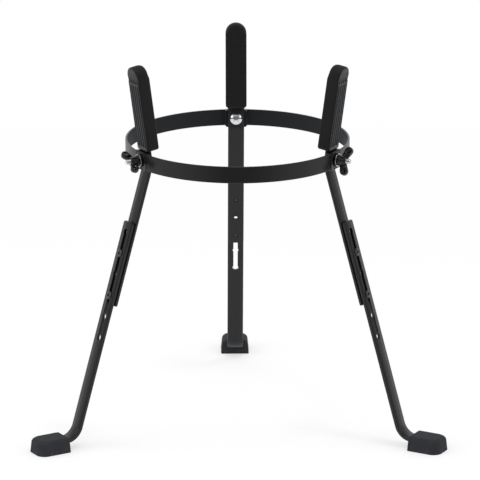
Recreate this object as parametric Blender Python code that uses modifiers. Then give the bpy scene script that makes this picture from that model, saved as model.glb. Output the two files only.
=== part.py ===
"""Conga stand: a flat steel ring on three bent legs that slide in and out for height.

Each leg is two flat bars. The upper bar is bolted to the ring through a saddle, carries a rubber
pad above the ring and holds two lock screws below it. The lower bar slides on those screws by its
row of holes, which a narrower slot joins, and ends in a rubber foot.

A leg is drawn in its own frame: +X points outward from the ring's axis, +Y runs along the ring
and +Z is up. The stand's origin is on the floor, at the middle of its bounding box.
"""
import math

import bmesh
import bpy
from mathutils import Matrix, Vector

MM = 0.001
GAP = 0.3 * MM

# Ring
RING_OUTER_RADIUS = 170.0 * MM
RING_THICKNESS = 3.0 * MM
RING_HEIGHT = 25.3 * MM
RING_CENTRE_HEIGHT = 431.5 * MM
RING_EDGE = 0.7 * MM
RING_SPACE_EDGE = 0.1 * MM

# Flat bars of the legs
BAR_WIDTH = 25.0 * MM
BAR_THICKNESS = 4.0 * MM
BAR_EDGE = 0.6 * MM
BEND_RADIUS = 30.0 * MM
LEG_LEAN = math.radians(16.8)
PAD_LEAN = math.radians(8.2)
CLAMP_BELOW_BOLT = 15.5 * MM
CLAMP_ABOVE_BOLT = 9.5 * MM
BAR_ABOVE_BEND = 126.3 * MM

# Saddle between the upper bar and the ring
SADDLE_WALL = 6.1 * MM
SADDLE_WIDTH = 35.0 * MM
SADDLE_LIP = 0.9 * MM
SADDLE_CHANNEL = 1.8 * MM
SADDLE_CORNER = 5.0 * MM
SADDLE_EDGE = 0.8 * MM

# Carriage bolt, washer and wing nut at the ring
BOLT_DIAMETER = 7.8 * MM
BOLT_BORE = 8.6 * MM
BOLT_HEAD_DIAMETER = 19.3 * MM
BOLT_HEAD_HEIGHT = 5.0 * MM
BOLT_NECK = 8.4 * MM
BOLT_END_BEYOND_NUT = 6.9 * MM
BOLT_CHAMFER = 0.8 * MM
NECK_OVERLAP = 0.5 * MM
WASHER_DIAMETER = 20.0 * MM
WASHER_THICKNESS = 1.6 * MM
WASHER_EDGE = 0.3 * MM
NYLON_WASHER_THICKNESS = 1.4 * MM
NUT_FLANGE_DIAMETER = 17.0 * MM
NUT_HUB_DIAMETER = 15.0 * MM
NUT_HEIGHT = 12.8 * MM
NUT_FLANGE_HEIGHT = 2.0 * MM
NUT_EDGE = 0.8 * MM
INSERT_DIAMETER = 11.0 * MM
INSERT_LENGTH = 8.0 * MM
WING_REACH = 16.0 * MM
WING_RISE = 13.0 * MM
WING_LOBE_RADIUS = 6.2 * MM
WING_ROOT_RADIUS = 5.2 * MM
WING_ROOT_RISE = 6.6 * MM
WING_THICKNESS = 5.0 * MM
LOBE_THICKNESS = 7.4 * MM
DIMPLE_RADIUS = 3.6 * MM
DIMPLE_DEPTH = 0.7 * MM

# Rubber pad on the top of each upper bar
PAD_WIDTH = 32.4 * MM
PAD_DEPTH = 20.8 * MM
PAD_LENGTH = 131.5 * MM
PAD_OUTER_WALL = 4.2 * MM
PAD_EDGE = 2.0 * MM
PAD_BOTTOM_CORNER = 4.5 * MM
GROOVE_COUNT = 5
GROOVE_PITCH = 6.0 * MM
GROOVE_RADIUS = 2.1 * MM
GROOVE_DEPTH = 1.2 * MM
GROOVE_TOP_MARGIN = 26.5 * MM
GROOVE_LOW_MARGIN = 6.0 * MM
LEDGE_BELOW_TOP = 24.5 * MM
SCOOP_BELOW_TOP = 12.0 * MM
SCOOP_DEPTH = 1.4 * MM
# How far above its bolt each pad's lower end stops when it is pushed on
PAD_SEAT = {"back": 18.4 * MM, "left": 15.3 * MM, "right": 15.3 * MM}

# Height rail: the lower bar's holes and slot, and the screws of the upper bar that run in them
HOLE_COUNT = 6
HOLE_PITCH = 33.0 * MM
HOLE_DIAMETER = 9.6 * MM
SLOT_WIDTH = 7.0 * MM
RAIL_TOP_MARGIN = 16.0 * MM
RAIL_CORNER = 4.0 * MM
TOP_SCREW_BELOW_BEND = 131.8 * MM
HOLES_ABOVE_TOP_SCREW = 1
HOLES_BETWEEN_SCREWS = 2
UPPER_BAR_END_MARGIN = 14.0 * MM
UPPER_BAR_CORNER = 2.5 * MM
SCREW_DIAMETER = 5.4 * MM
SCREW_HEAD_DIAMETER = 12.0 * MM
SCREW_HEAD_HEIGHT = 2.8 * MM
SCREW_HEAD_RIM = 0.8 * MM
SCREW_SOCKET_RADIUS = 2.5 * MM
SCREW_SOCKET_DEPTH = 1.8 * MM
SPACER_DIAMETER = 13.0 * MM
SPACER_THICKNESS = 2.1 * MM

# Toe of the lower bar and its rubber foot
TOE_HEIGHT = 13.5 * MM
TOE_BEND_RADIUS = 26.0 * MM
TOE_RUN = 17.3 * MM
FOOT_LENGTH = 52.0 * MM
FOOT_WIDTH = 44.7 * MM
FOOT_HEIGHT = 22.0 * MM
FOOT_TAPER = 2.2 * MM
FOOT_FRONT_CORNER = 14.0 * MM
FOOT_BACK_CORNER = 2.5 * MM
FOOT_TOP_ROUND = 6.5 * MM
FOOT_BACK_ROUND = 1.5 * MM
FOOT_SOLE_EDGE = 0.6 * MM
FOOT_END_WALL = 10.0 * MM

LEGS = {"back": 90.0, "left": 210.0, "right": 330.0}
WING_ANGLE = {"back": 75.0, "left": -26.6, "right": 60.0}
# Steps of the round shapes, how far a facet may lie inside its arc, and the size at which empties show
RING_STEPS = 72
ROUND_STEPS = 18
BORE_STEPS = 16
SMALL_STEPS = 12
GROOVE_STEPS = 16
CORNER_STEPS = 4
FACET_DEPTH = 0.09 * MM
EMPTY_SIZE = 20.0 * MM

# Colour, roughness and metallic value of each finish
POWDER_COAT = ((0.018, 0.019, 0.021), 0.42, 0.0)
PAD_RUBBER = ((0.014, 0.014, 0.015), 0.62, 0.0)
FOOT_RUBBER = ((0.022, 0.023, 0.025), 0.55, 0.0)
CHROME = ((0.75, 0.76, 0.78), 0.12, 1.0)
ZINC = ((0.52, 0.53, 0.55), 0.30, 1.0)
BLACK_NYLON = ((0.012, 0.012, 0.013), 0.30, 0.0)
BLACK_OXIDE = ((0.05, 0.05, 0.055), 0.35, 1.0)

# Places that follow from the sizes above
RING_INNER_RADIUS = RING_OUTER_RADIUS - RING_THICKNESS
BAR_HALF = BAR_THICKNESS / 2
CLAMP_RADIUS = RING_INNER_RADIUS - SADDLE_WALL - 2 * GAP - BAR_HALF
LEAN_TOP_HEIGHT = RING_CENTRE_HEIGHT - CLAMP_BELOW_BOLT
PAD_BEND_HEIGHT = RING_CENTRE_HEIGHT + CLAMP_ABOVE_BOLT
WASHER_SEAT = RING_OUTER_RADIUS + 2 * GAP + NYLON_WASHER_THICKNESS
NUT_SEAT = WASHER_SEAT + WASHER_THICKNESS + GAP
RAIL_OFFSET = BAR_THICKNESS + SPACER_THICKNESS + 2 * GAP
BOTTOM_SCREW_BELOW_BEND = TOP_SCREW_BELOW_BEND + HOLES_BETWEEN_SCREWS * HOLE_PITCH
FIRST_HOLE = TOP_SCREW_BELOW_BEND - HOLES_ABOVE_TOP_SCREW * HOLE_PITCH
TOE_CORNER = (LEAN_TOP_HEIGHT + RAIL_OFFSET * math.sin(LEG_LEAN) - TOE_HEIGHT) / math.cos(LEG_LEAN)
TOE_CORNER_REACH = (CLAMP_RADIUS + TOE_CORNER * math.sin(LEG_LEAN)
                    + RAIL_OFFSET * math.cos(LEG_LEAN))
FOOT_REACH = TOE_CORNER_REACH + TOE_RUN
TOE_END_REACH = FOOT_REACH + FOOT_LENGTH - FOOT_END_WALL

X_TO_Z = Matrix(((0, 0, 1, 0), (1, 0, 0, 0), (0, 1, 0, 0), (0, 0, 0, 1)))


def clear_scene():
    """Remove every object, so that the stand is built on an empty scene."""
    for old in list(bpy.data.objects):
        bpy.data.objects.remove(old, do_unlink=True)


def collection(name):
    """Return a new collection that is linked to the scene."""
    made = bpy.data.collections.new(name)
    bpy.context.scene.collection.children.link(made)
    return made


def finish(name, look):
    """Return a Principled material from a colour, a roughness and a metallic value."""
    colour, roughness, metallic = look
    material = bpy.data.materials.new(name)
    material.use_nodes = True
    shader = material.node_tree.nodes["Principled BSDF"]
    shader.inputs["Base Color"].default_value = (*colour, 1.0)
    shader.inputs["Roughness"].default_value = roughness
    shader.inputs["Metallic"].default_value = metallic
    return material


def empty(name, parent=None, location=(0, 0, 0), rotation=(0, 0, 0)):
    """Add an empty that carries pieces of the stand."""
    made = bpy.data.objects.new(name, None)
    made.empty_display_size = EMPTY_SIZE
    made.parent = parent
    made.location = location
    made.rotation_euler = rotation
    PARTS.objects.link(made)
    return made


def piece(name, mesh, parent, look, location=(0, 0, 0), rotation=(0, 0, 0)):
    """Add one named piece of the stand with its own material."""
    made = bpy.data.objects.new(name, mesh)
    made.parent = parent
    made.location = location
    made.rotation_euler = rotation
    mesh.materials.append(finish(name + "_finish", look))
    PARTS.objects.link(made)
    return made


def cutter(name, mesh, parent, location=(0, 0, 0), rotation=(0, 0, 0)):
    """Add a helper solid, which cuts or joins a piece and isn't one itself."""
    made = bpy.data.objects.new(name, mesh)
    made.parent = parent
    made.location = location
    made.rotation_euler = rotation
    made.hide_render = True
    made.display_type = "WIRE"
    CUTTERS.objects.link(made)
    return made


def boolean(target, tool, operation="DIFFERENCE"):
    """Cut a helper solid out of a piece, or join it on."""
    modifier = target.modifiers.new(tool.name, "BOOLEAN")
    modifier.operation = operation
    modifier.solver = "EXACT"
    modifier.object = tool


def bevel(target, width, segments=1, angle=40.0):
    """Round the edges that are sharper than the angle in degrees."""
    modifier = target.modifiers.new("edge", "BEVEL")
    modifier.width = width
    modifier.segments = segments
    modifier.limit_method = "ANGLE"
    modifier.angle_limit = math.radians(angle)


def smooth(mesh, angle=35.0):
    """Shade a mesh smooth, apart from edges sharper than the angle in degrees."""
    mesh.shade_smooth()
    mesh.set_sharp_from_angle(angle=math.radians(angle))
    return mesh


def mesh_from(name, bm):
    """Turn a bmesh into a mesh that is shaded smooth."""
    bmesh.ops.recalc_face_normals(bm, faces=bm.faces)
    mesh = bpy.data.meshes.new(name)
    bm.to_mesh(mesh)
    bm.free()
    return smooth(mesh)


def box_mesh(name, size, centre=(0, 0, 0)):
    """A box of the given size about a centre."""
    bm = bmesh.new()
    place = Matrix.Translation(centre) @ Matrix.Diagonal((*size, 1.0))
    bmesh.ops.create_cube(bm, size=1.0, matrix=place)
    return mesh_from(name, bm)


def rod_mesh(name, radius, length, sides, centre=(0, 0, 0), turn=None):
    """A closed cylinder along +Z about a centre, or along another axis when turned."""
    bm = bmesh.new()
    place = Matrix.Translation(centre) @ (turn or Matrix.Identity(4))
    bmesh.ops.create_cone(bm, cap_ends=True, segments=sides, radius1=radius, radius2=radius,
                          depth=length, matrix=place)
    return mesh_from(name, bm)


def turned(target, steps):
    """Turn a piece's profile, drawn in +X and Z, right round its Z axis."""
    modifier = target.modifiers.new("turn", "SCREW")
    modifier.axis = "Z"
    modifier.angle = math.tau
    modifier.steps = steps
    modifier.render_steps = steps
    modifier.use_merge_vertices = True
    modifier.merge_threshold = 0.00001
    modifier.use_smooth_shade = True


def profile_mesh(name, points, closed=False):
    """A profile in +X and Z, from its top down the outer side, for turning."""
    bm = bmesh.new()
    verts = [bm.verts.new((x, 0, z)) for x, z in points]
    pairs = list(zip(verts, verts[1:]))
    if closed:
        pairs.append((verts[-1], verts[0]))
    for pair in pairs:
        bm.edges.new(pair)
    mesh = bpy.data.meshes.new(name)
    bm.to_mesh(mesh)
    bm.free()
    return mesh


def arc(centre, radius, start, end):
    """Points on an arc, with both ends, at even steps that keep each facet close to it."""
    step = 2 * math.acos(1 - FACET_DEPTH / radius)
    count = max(1, math.ceil(abs(end - start) / step))
    angles = [start + (end - start) * index / count for index in range(count + 1)]
    return [(centre[0] + radius * math.cos(a), centre[1] + radius * math.sin(a)) for a in angles]


def filleted(corners, radii):
    """A path through corners, with an arc of the given radius at each inner one."""
    points = [corners[0]]
    for before, corner, after, radius in zip(corners, corners[1:], corners[2:], radii):
        into = (Vector(corner) - Vector(before)).normalized()
        out = (Vector(after) - Vector(corner)).normalized()
        turn = math.atan2(into.x * out.y - into.y * out.x, into.dot(out))
        start = Vector(corner) - into * radius * math.tan(abs(turn) / 2)
        side = math.copysign(1.0, turn)
        centre = start + side * radius * Vector((-into.y, into.x))
        first = math.atan2(start.y - centre.y, start.x - centre.x)
        points += arc(centre, radius, first, first + turn)
    return points + [corners[-1]]


def strip_mesh(name, path, width, start_corner=0.0, end_corner=0.0):
    """The middle surface of a flat bar: a path in X and Z, as wide as the bar along Y."""
    bm = bmesh.new()
    verts = [bm.verts.new((x, -width / 2, z)) for x, z in path]
    edges = [bm.edges.new(pair) for pair in zip(verts, verts[1:])]
    swept = bmesh.ops.extrude_edge_only(bm, edges=edges)["geom"]
    moved = [item for item in swept if isinstance(item, bmesh.types.BMVert)]
    bmesh.ops.translate(bm, vec=(0, width, 0), verts=moved)
    for (x, z), radius in ((path[0], start_corner), (path[-1], end_corner)):
        if radius > 0:
            ends = [v for v in bm.verts if (Vector((x, z)) - Vector((v.co.x, v.co.z))).length < GAP]
            bmesh.ops.bevel(bm, geom=ends, offset=radius, segments=CORNER_STEPS, profile=0.5,
                            affect="VERTICES")
    return mesh_from(name, bm)


def thicken(target, thickness):
    """Give a middle surface its thickness, half to each side."""
    modifier = target.modifiers.new("thickness", "SOLIDIFY")
    modifier.thickness = thickness
    modifier.offset = 0.0
    modifier.use_even_offset = True


def plate_mesh(name, outline, thickness, turn=None):
    """A flat plate from an outline in X and Y, half its thickness to each side of Z."""
    curve = bpy.data.curves.new(name, "CURVE")
    curve.dimensions = "2D"
    curve.fill_mode = "BOTH"
    curve.extrude = thickness / 2
    spline = curve.splines.new("POLY")
    spline.points.add(len(outline) - 1)
    for point, (x, y) in zip(spline.points, outline):
        point.co = (x, y, 0, 1)
    spline.use_cyclic_u = True
    holder = bpy.data.objects.new(name, curve)
    bpy.context.scene.collection.objects.link(holder)
    graph = bpy.context.evaluated_depsgraph_get()
    mesh = bpy.data.meshes.new_from_object(holder.evaluated_get(graph))
    bpy.data.objects.remove(holder, do_unlink=True)
    bm = bmesh.new()
    bm.from_mesh(mesh)
    bpy.data.meshes.remove(mesh)
    bmesh.ops.remove_doubles(bm, verts=bm.verts, dist=0.00001)
    bmesh.ops.dissolve_limit(bm, angle_limit=math.radians(0.5), verts=bm.verts, edges=bm.edges)
    if turn:
        bmesh.ops.transform(bm, matrix=turn, verts=bm.verts)
    return mesh_from(name, bm)


def rounded_outline(width, low, high, low_radius, high_radius):
    """A rectangle from low to high along Y, with its own corner radius at each end."""
    half = width / 2
    quarter = math.pi / 2
    points = arc((half - low_radius, low + low_radius), low_radius, -quarter, 0)
    points += arc((half - high_radius, high - high_radius), high_radius, 0, quarter)
    points += arc((high_radius - half, high - high_radius), high_radius, quarter, math.pi)
    points += arc((low_radius - half, low + low_radius), low_radius, math.pi, 3 * quarter)
    return [p for p, q in zip(points, points[1:] + points[:1]) if math.dist(p, q) > GAP / 10]


def keyhole_outline(first):
    """A row of round holes along X, joined by a narrower slot, as one outline."""
    radius = HOLE_DIAMETER / 2
    neck = math.asin(SLOT_WIDTH / HOLE_DIAMETER)
    side = []
    for index in range(HOLE_COUNT):
        start = math.pi if index == 0 else math.pi - neck
        end = 0.0 if index == HOLE_COUNT - 1 else neck
        side += arc((first + index * HOLE_PITCH, 0), radius, start, end)
    return side + [(x, -y) for x, y in reversed(side[1:-1])]


def wing_outline():
    """Both wings of the nut, from root circle to lobe circle, as one outline in X and Y."""
    lobe = Vector((WING_REACH, WING_RISE))
    root = Vector((0.0, WING_ROOT_RISE))
    span = lobe - root
    slope = math.atan2(span.y, span.x)
    spread = math.acos((WING_ROOT_RADIUS - WING_LOBE_RADIUS) / span.length)
    low, high = slope - spread, slope + spread
    right = arc(lobe, WING_LOBE_RADIUS, low, high)
    shoulder = lobe + WING_LOBE_RADIUS * Vector((math.cos(high), math.sin(high)))
    valley = shoulder.y + shoulder.x * math.cos(high) / math.sin(high)
    under = arc(root, WING_ROOT_RADIUS, math.pi - low, math.tau + low)
    left = [(-x, y) for x, y in reversed(right)]
    return right + [(0.0, valley)] + left + under[1:-1]


def ring_profile(clearance=0.0, edge=RING_EDGE):
    """The ring strip's section, from its top down the outer side and up the inner one."""
    outer = RING_OUTER_RADIUS + clearance
    inner = RING_INNER_RADIUS - clearance
    half = RING_HEIGHT / 2 + clearance
    return [(outer - edge, half), (outer, half - edge), (outer, edge - half),
            (outer - edge, -half), (inner + edge, -half), (inner, edge - half),
            (inner, half - edge), (inner + edge, half)]


def make_ring(root):
    """The rolled strip that carries the legs, with a bolt hole for each."""
    centre = (0, 0, RING_CENTRE_HEIGHT)
    ring = piece("ring", profile_mesh("ring", ring_profile(), closed=True), root, POWDER_COAT,
                 location=centre)
    turned(ring, RING_STEPS)
    for name, azimuth in LEGS.items():
        turn = Matrix.Rotation(math.radians(azimuth), 4, "Z") @ X_TO_Z
        reach = turn @ Vector((0, 0, RING_OUTER_RADIUS))
        hole = rod_mesh(name + "_ring_hole", BOLT_BORE / 2, 12 * RING_THICKNESS, BORE_STEPS,
                        centre=reach, turn=turn)
        boolean(ring, cutter(name + "_ring_hole", hole, root, location=centre))


def upper_bar_path(below=None, above=None):
    """The upper bar's middle line in the leg's X and Z, from its top end to its bottom end."""
    below = below or BOTTOM_SCREW_BELOW_BEND + UPPER_BAR_END_MARGIN
    above = above or BAR_ABOVE_BEND
    top = (CLAMP_RADIUS + above * math.sin(PAD_LEAN), PAD_BEND_HEIGHT + above * math.cos(PAD_LEAN))
    bottom = (CLAMP_RADIUS + below * math.sin(LEG_LEAN), LEAN_TOP_HEIGHT - below * math.cos(LEG_LEAN))
    corners = [top, (CLAMP_RADIUS, PAD_BEND_HEIGHT), (CLAMP_RADIUS, LEAN_TOP_HEIGHT), bottom]
    return filleted(corners, [BEND_RADIUS, BEND_RADIUS])


def make_upper_bar(side, leg, rail):
    """The bent flat bar that is bolted to the ring and holds the pad and the lock screws."""
    mesh = strip_mesh(side + "_upper_bar", upper_bar_path(), BAR_WIDTH,
                      start_corner=BAR_WIDTH / 3, end_corner=UPPER_BAR_CORNER)
    bar = piece(side + "_upper_bar", mesh, leg, POWDER_COAT)
    thicken(bar, BAR_THICKNESS)
    bevel(bar, BAR_EDGE)
    neck = box_mesh(side + "_neck_hole", (4 * BAR_THICKNESS, BOLT_NECK + 2 * GAP, BOLT_NECK + 2 * GAP),
                    centre=(CLAMP_RADIUS, 0, RING_CENTRE_HEIGHT))
    boolean(bar, cutter(side + "_neck_hole", neck, leg))
    for step in range(HOLES_BETWEEN_SCREWS + 1):
        along = TOP_SCREW_BELOW_BEND + step * HOLE_PITCH
        hole = rod_mesh(side + "_screw_hole", SCREW_DIAMETER / 2 + GAP, 4 * BAR_THICKNESS, BORE_STEPS)
        boolean(bar, cutter(f"{side}_screw_hole_{step + 1}", hole, rail, location=(along, 0, 0)))


def make_saddle(side, leg):
    """The block that fits the flat bar to the round ring, with lips over the ring's edges."""
    inner = CLAMP_RADIUS + BAR_HALF + GAP - SADDLE_CHANNEL
    height = RING_HEIGHT + 2 * (GAP + SADDLE_LIP)
    centre = ((RING_OUTER_RADIUS + inner) / 2, 0, RING_CENTRE_HEIGHT)
    outline = rounded_outline(SADDLE_WIDTH, -height / 2, height / 2, SADDLE_CORNER, SADDLE_CORNER)
    mesh = plate_mesh(side + "_saddle", outline, RING_OUTER_RADIUS - inner, X_TO_Z)
    block = piece(side + "_saddle", mesh, leg, BLACK_NYLON, location=centre)
    bevel(block, SADDLE_EDGE, angle=60.0)
    mesh = profile_mesh(side + "_ring_space", ring_profile(GAP, RING_SPACE_EDGE), closed=True)
    ring = cutter(side + "_ring_space", mesh, leg, location=(0, 0, RING_CENTRE_HEIGHT))
    turned(ring, RING_STEPS)
    boolean(block, ring)
    path = upper_bar_path(below=height, above=height)
    mesh = strip_mesh(side + "_bar_channel", path, BAR_WIDTH + 2 * GAP)
    channel = cutter(side + "_bar_channel", mesh, leg)
    thicken(channel, BAR_THICKNESS + 2 * GAP)
    boolean(block, channel)
    bore = rod_mesh(side + "_saddle_bore", BOLT_BORE / 2, 6 * SADDLE_WALL, BORE_STEPS, turn=X_TO_Z)
    boolean(block, cutter(side + "_saddle_bore", bore, leg, location=centre))


def make_carriage_bolt(side, axis):
    """The chromed round-head bolt, whose square neck sits in the upper bar."""
    under_head = CLAMP_RADIUS - BAR_HALF - GAP
    end = NUT_SEAT + NUT_HEIGHT + BOLT_END_BEYOND_NUT
    shank = BOLT_DIAMETER / 2
    half = BOLT_HEAD_DIAMETER / 2
    dome_radius = (half ** 2 + BOLT_HEAD_HEIGHT ** 2) / (2 * BOLT_HEAD_HEIGHT)
    dome_centre = under_head - BOLT_HEAD_HEIGHT + dome_radius
    rim = math.asin(half / dome_radius)
    dome = arc((0, dome_centre), dome_radius, rim - math.pi / 2, -math.pi / 2)
    profile = [(0, end), (shank - BOLT_CHAMFER, end), (shank, end - BOLT_CHAMFER), (shank, under_head)]
    profile += dome[:-1] + [(0, under_head - BOLT_HEAD_HEIGHT)]
    bolt = piece(side + "_carriage_bolt", profile_mesh(side + "_carriage_bolt", profile), axis, CHROME)
    turned(bolt, ROUND_STEPS)
    neck_length = BAR_THICKNESS + GAP
    neck = box_mesh(side + "_square_neck", (BOLT_NECK, BOLT_NECK, neck_length + 2 * NECK_OVERLAP),
                    centre=(0, 0, under_head + neck_length / 2 - NECK_OVERLAP))
    boolean(bolt, cutter(side + "_square_neck", neck, axis), "UNION")


def make_washer(side, name, low, thickness, look, axis):
    """A flat washer on the bolt, from a height along it."""
    high = low + thickness
    outer, inner = WASHER_DIAMETER / 2, BOLT_BORE / 2
    profile = [(outer - WASHER_EDGE, high), (outer, high - WASHER_EDGE), (outer, low), (inner, low),
               (inner, high)]
    name = f"{side}_{name}"
    washer = piece(name, profile_mesh(name, profile, closed=True), axis, look)
    turned(washer, BORE_STEPS)


def make_wing_nut(side, axis):
    """The moulded nut with two round-ended wings, and the threaded steel insert inside it."""
    spin = math.radians(WING_ANGLE[side] + 90.0)
    place = {"location": (0, 0, NUT_SEAT), "rotation": (0, 0, spin)}
    hub, flange = NUT_HUB_DIAMETER / 2, NUT_FLANGE_DIAMETER / 2
    edge = NUT_EDGE
    profile = [(0, NUT_HEIGHT), (hub - 3 * edge, NUT_HEIGHT), (hub - edge, NUT_HEIGHT - edge),
               (hub, NUT_FLANGE_HEIGHT + edge), (flange, NUT_FLANGE_HEIGHT), (flange, edge / 2),
               (flange - edge / 2, 0), (0, 0)]
    nut = piece(side + "_wing_nut", profile_mesh(side + "_wing_nut", profile), axis, BLACK_NYLON, **place)
    turned(nut, ROUND_STEPS)
    upright = Matrix.Rotation(math.pi / 2, 4, "X")
    wings = cutter(side + "_wings", plate_mesh(side + "_wings", wing_outline(), WING_THICKNESS, upright),
                   axis, **place)
    bevel(wings, WING_THICKNESS / 4)
    boolean(nut, wings, "UNION")
    for hand, reach in (("near", WING_REACH), ("far", -WING_REACH)):
        lobe = rod_mesh(f"{side}_{hand}_lobe", WING_LOBE_RADIUS + GAP, LOBE_THICKNESS, BORE_STEPS,
                        centre=(reach, 0, WING_RISE), turn=upright)
        lobe = cutter(f"{side}_{hand}_lobe", lobe, axis, **place)
        bevel(lobe, LOBE_THICKNESS / 5)
        boolean(nut, lobe, "UNION")
    for hand, reach in (("near", WING_REACH), ("far", -WING_REACH)):
        for face in (-1, 1):
            deep = face * LOBE_THICKNESS / 2
            dimple = rod_mesh("dimple", DIMPLE_RADIUS, 2 * DIMPLE_DEPTH, SMALL_STEPS,
                              centre=(reach, deep, WING_RISE), turn=upright)
            boolean(nut, cutter(f"{side}_{hand}_dimple_{face + 2}", dimple, axis, **place))
    bore = rod_mesh(side + "_nut_bore", BOLT_BORE / 2, 6 * NUT_HEIGHT, BORE_STEPS)
    boolean(nut, cutter(side + "_nut_bore", bore, axis, **place))
    pocket = rod_mesh(side + "_insert_pocket", INSERT_DIAMETER / 2 + GAP, 2 * (INSERT_LENGTH + GAP),
                      BORE_STEPS)
    boolean(nut, cutter(side + "_insert_pocket", pocket, axis, **place))
    outer, inner = INSERT_DIAMETER / 2, BOLT_BORE / 2
    profile = [(outer, INSERT_LENGTH), (outer, 0), (inner, 0), (inner, INSERT_LENGTH)]
    insert = piece(side + "_nut_insert", profile_mesh(side + "_nut_insert", profile, closed=True), axis,
                   ZINC, **place)
    turned(insert, SMALL_STEPS)


def make_pad(side, leg):
    """The rubber sleeve over the bar's upper end: grooves, a ledge and a scooped top outside."""
    low = PAD_SEAT[side] - CLAMP_ABOVE_BOLT
    top = low + PAD_LENGTH
    outer_face = BAR_HALF + GAP + PAD_OUTER_WALL
    middle = outer_face - PAD_DEPTH / 2
    place = {"location": (CLAMP_RADIUS, 0, PAD_BEND_HEIGHT), "rotation": (0, PAD_LEAN, 0)}
    outline = rounded_outline(PAD_WIDTH, low, top, PAD_BOTTOM_CORNER, PAD_WIDTH / 2)
    turn = Matrix.Translation((middle, 0, 0)) @ X_TO_Z
    mesh = plate_mesh(side + "_pad", outline, PAD_DEPTH, turn)
    pad = piece(side + "_pad", mesh, leg, PAD_RUBBER, **place)
    bevel(pad, PAD_EDGE, segments=2, angle=50.0)
    sleeve_top = BAR_ABOVE_BEND + GAP
    sleeve = box_mesh(side + "_sleeve", (BAR_THICKNESS + 2 * GAP, BAR_WIDTH + 2 * GAP, 2 * sleeve_top))
    boolean(pad, cutter(side + "_sleeve", sleeve, leg, **place))
    groove_low, groove_top = low + GROOVE_LOW_MARGIN, top - GROOVE_TOP_MARGIN
    across = -(GROOVE_COUNT - 1) / 2 * GROOVE_PITCH
    middle = (outer_face + GROOVE_RADIUS - GROOVE_DEPTH, across, (groove_low + groove_top) / 2)
    mesh = rod_mesh(side + "_grooves", GROOVE_RADIUS, groove_top - groove_low, GROOVE_STEPS,
                    centre=middle)
    groove = cutter(side + "_grooves", mesh, leg, **place)
    pattern = groove.modifiers.new("pattern", "ARRAY")
    pattern.count = GROOVE_COUNT
    pattern.use_relative_offset = False
    pattern.use_constant_offset = True
    pattern.constant_offset_displace = (0, GROOVE_PITCH, 0)
    boolean(pad, groove)
    ledge, scoop_top = top - LEDGE_BELOW_TOP, top - SCOOP_BELOW_TOP
    outside = outer_face + PAD_DEPTH
    outline = [(outer_face - SCOOP_DEPTH, ledge), (outside, ledge), (outside, scoop_top),
               (outer_face, scoop_top)]
    mesh = plate_mesh(side + "_scoop", outline, 2 * PAD_WIDTH, Matrix.Rotation(math.pi / 2, 4, "X"))
    boolean(pad, cutter(side + "_scoop", mesh, leg, **place))


def make_lock_screw(side, place_name, along, rail):
    """A button-head screw in the upper bar, and the spacer that keeps the two bars apart."""
    under_head = RAIL_OFFSET + BAR_HALF + GAP
    half, shank = SCREW_HEAD_DIAMETER / 2, SCREW_DIAMETER / 2
    top = under_head + SCREW_HEAD_HEIGHT
    tip = GAP - BAR_HALF
    rise = SCREW_HEAD_HEIGHT - SCREW_HEAD_RIM
    dome_radius = (half ** 2 + rise ** 2) / (2 * rise)
    centre = top - dome_radius
    dome = arc((0, centre), dome_radius, math.pi / 2, math.pi / 2 - math.asin(half / dome_radius))
    profile = [(0, top)] + dome[1:]
    profile += [(half, under_head), (shank, under_head), (shank, tip), (0, tip)]
    name = f"{side}_{place_name}_screw"
    screw = piece(name, profile_mesh(name, profile), rail, BLACK_OXIDE, location=(along, 0, 0))
    turned(screw, BORE_STEPS)
    socket = rod_mesh(name + "_socket", SCREW_SOCKET_RADIUS, 2 * SCREW_SOCKET_DEPTH, 6,
                      centre=(0, 0, top))
    boolean(screw, cutter(name + "_socket", socket, rail, location=(along, 0, 0)))
    low = BAR_HALF + GAP
    high = low + SPACER_THICKNESS
    outer, inner = SPACER_DIAMETER / 2, shank + GAP
    profile = [(outer, high), (outer, low), (inner, low), (inner, high)]
    name = f"{side}_{place_name}_spacer"
    spacer = piece(name, profile_mesh(name, profile, closed=True), rail, BLACK_NYLON,
                   location=(along, 0, 0))
    turned(spacer, SMALL_STEPS)


def rail_point(reach, height):
    """A point of the leg's X and Z, in the rail's X (down the bars) and Z (outward)."""
    out, up = reach - CLAMP_RADIUS, height - LEAN_TOP_HEIGHT
    return (out * math.sin(LEG_LEAN) - up * math.cos(LEG_LEAN),
            out * math.cos(LEG_LEAN) + up * math.sin(LEG_LEAN))


def lower_bar_path(start):
    """The lower bar's middle line in the rail's X and Z, from the start to its toe."""
    toe = rail_point(TOE_END_REACH, TOE_HEIGHT)
    return filleted([(start, RAIL_OFFSET), (TOE_CORNER, RAIL_OFFSET), toe], [TOE_BEND_RADIUS])


def make_lower_bar(side, slide, home):
    """The bar that slides on the lock screws and turns outward into the foot."""
    mesh = strip_mesh(side + "_lower_bar", lower_bar_path(FIRST_HOLE - RAIL_TOP_MARGIN), BAR_WIDTH,
                      start_corner=RAIL_CORNER, end_corner=RAIL_CORNER)
    bar = piece(side + "_lower_bar", mesh, slide, POWDER_COAT, location=home)
    thicken(bar, BAR_THICKNESS)
    bevel(bar, BAR_EDGE)
    holes = plate_mesh(side + "_keyholes", keyhole_outline(FIRST_HOLE), 4 * BAR_THICKNESS,
                       Matrix.Translation((0, 0, RAIL_OFFSET)))
    boolean(bar, cutter(side + "_keyholes", holes, slide, location=home))


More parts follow.
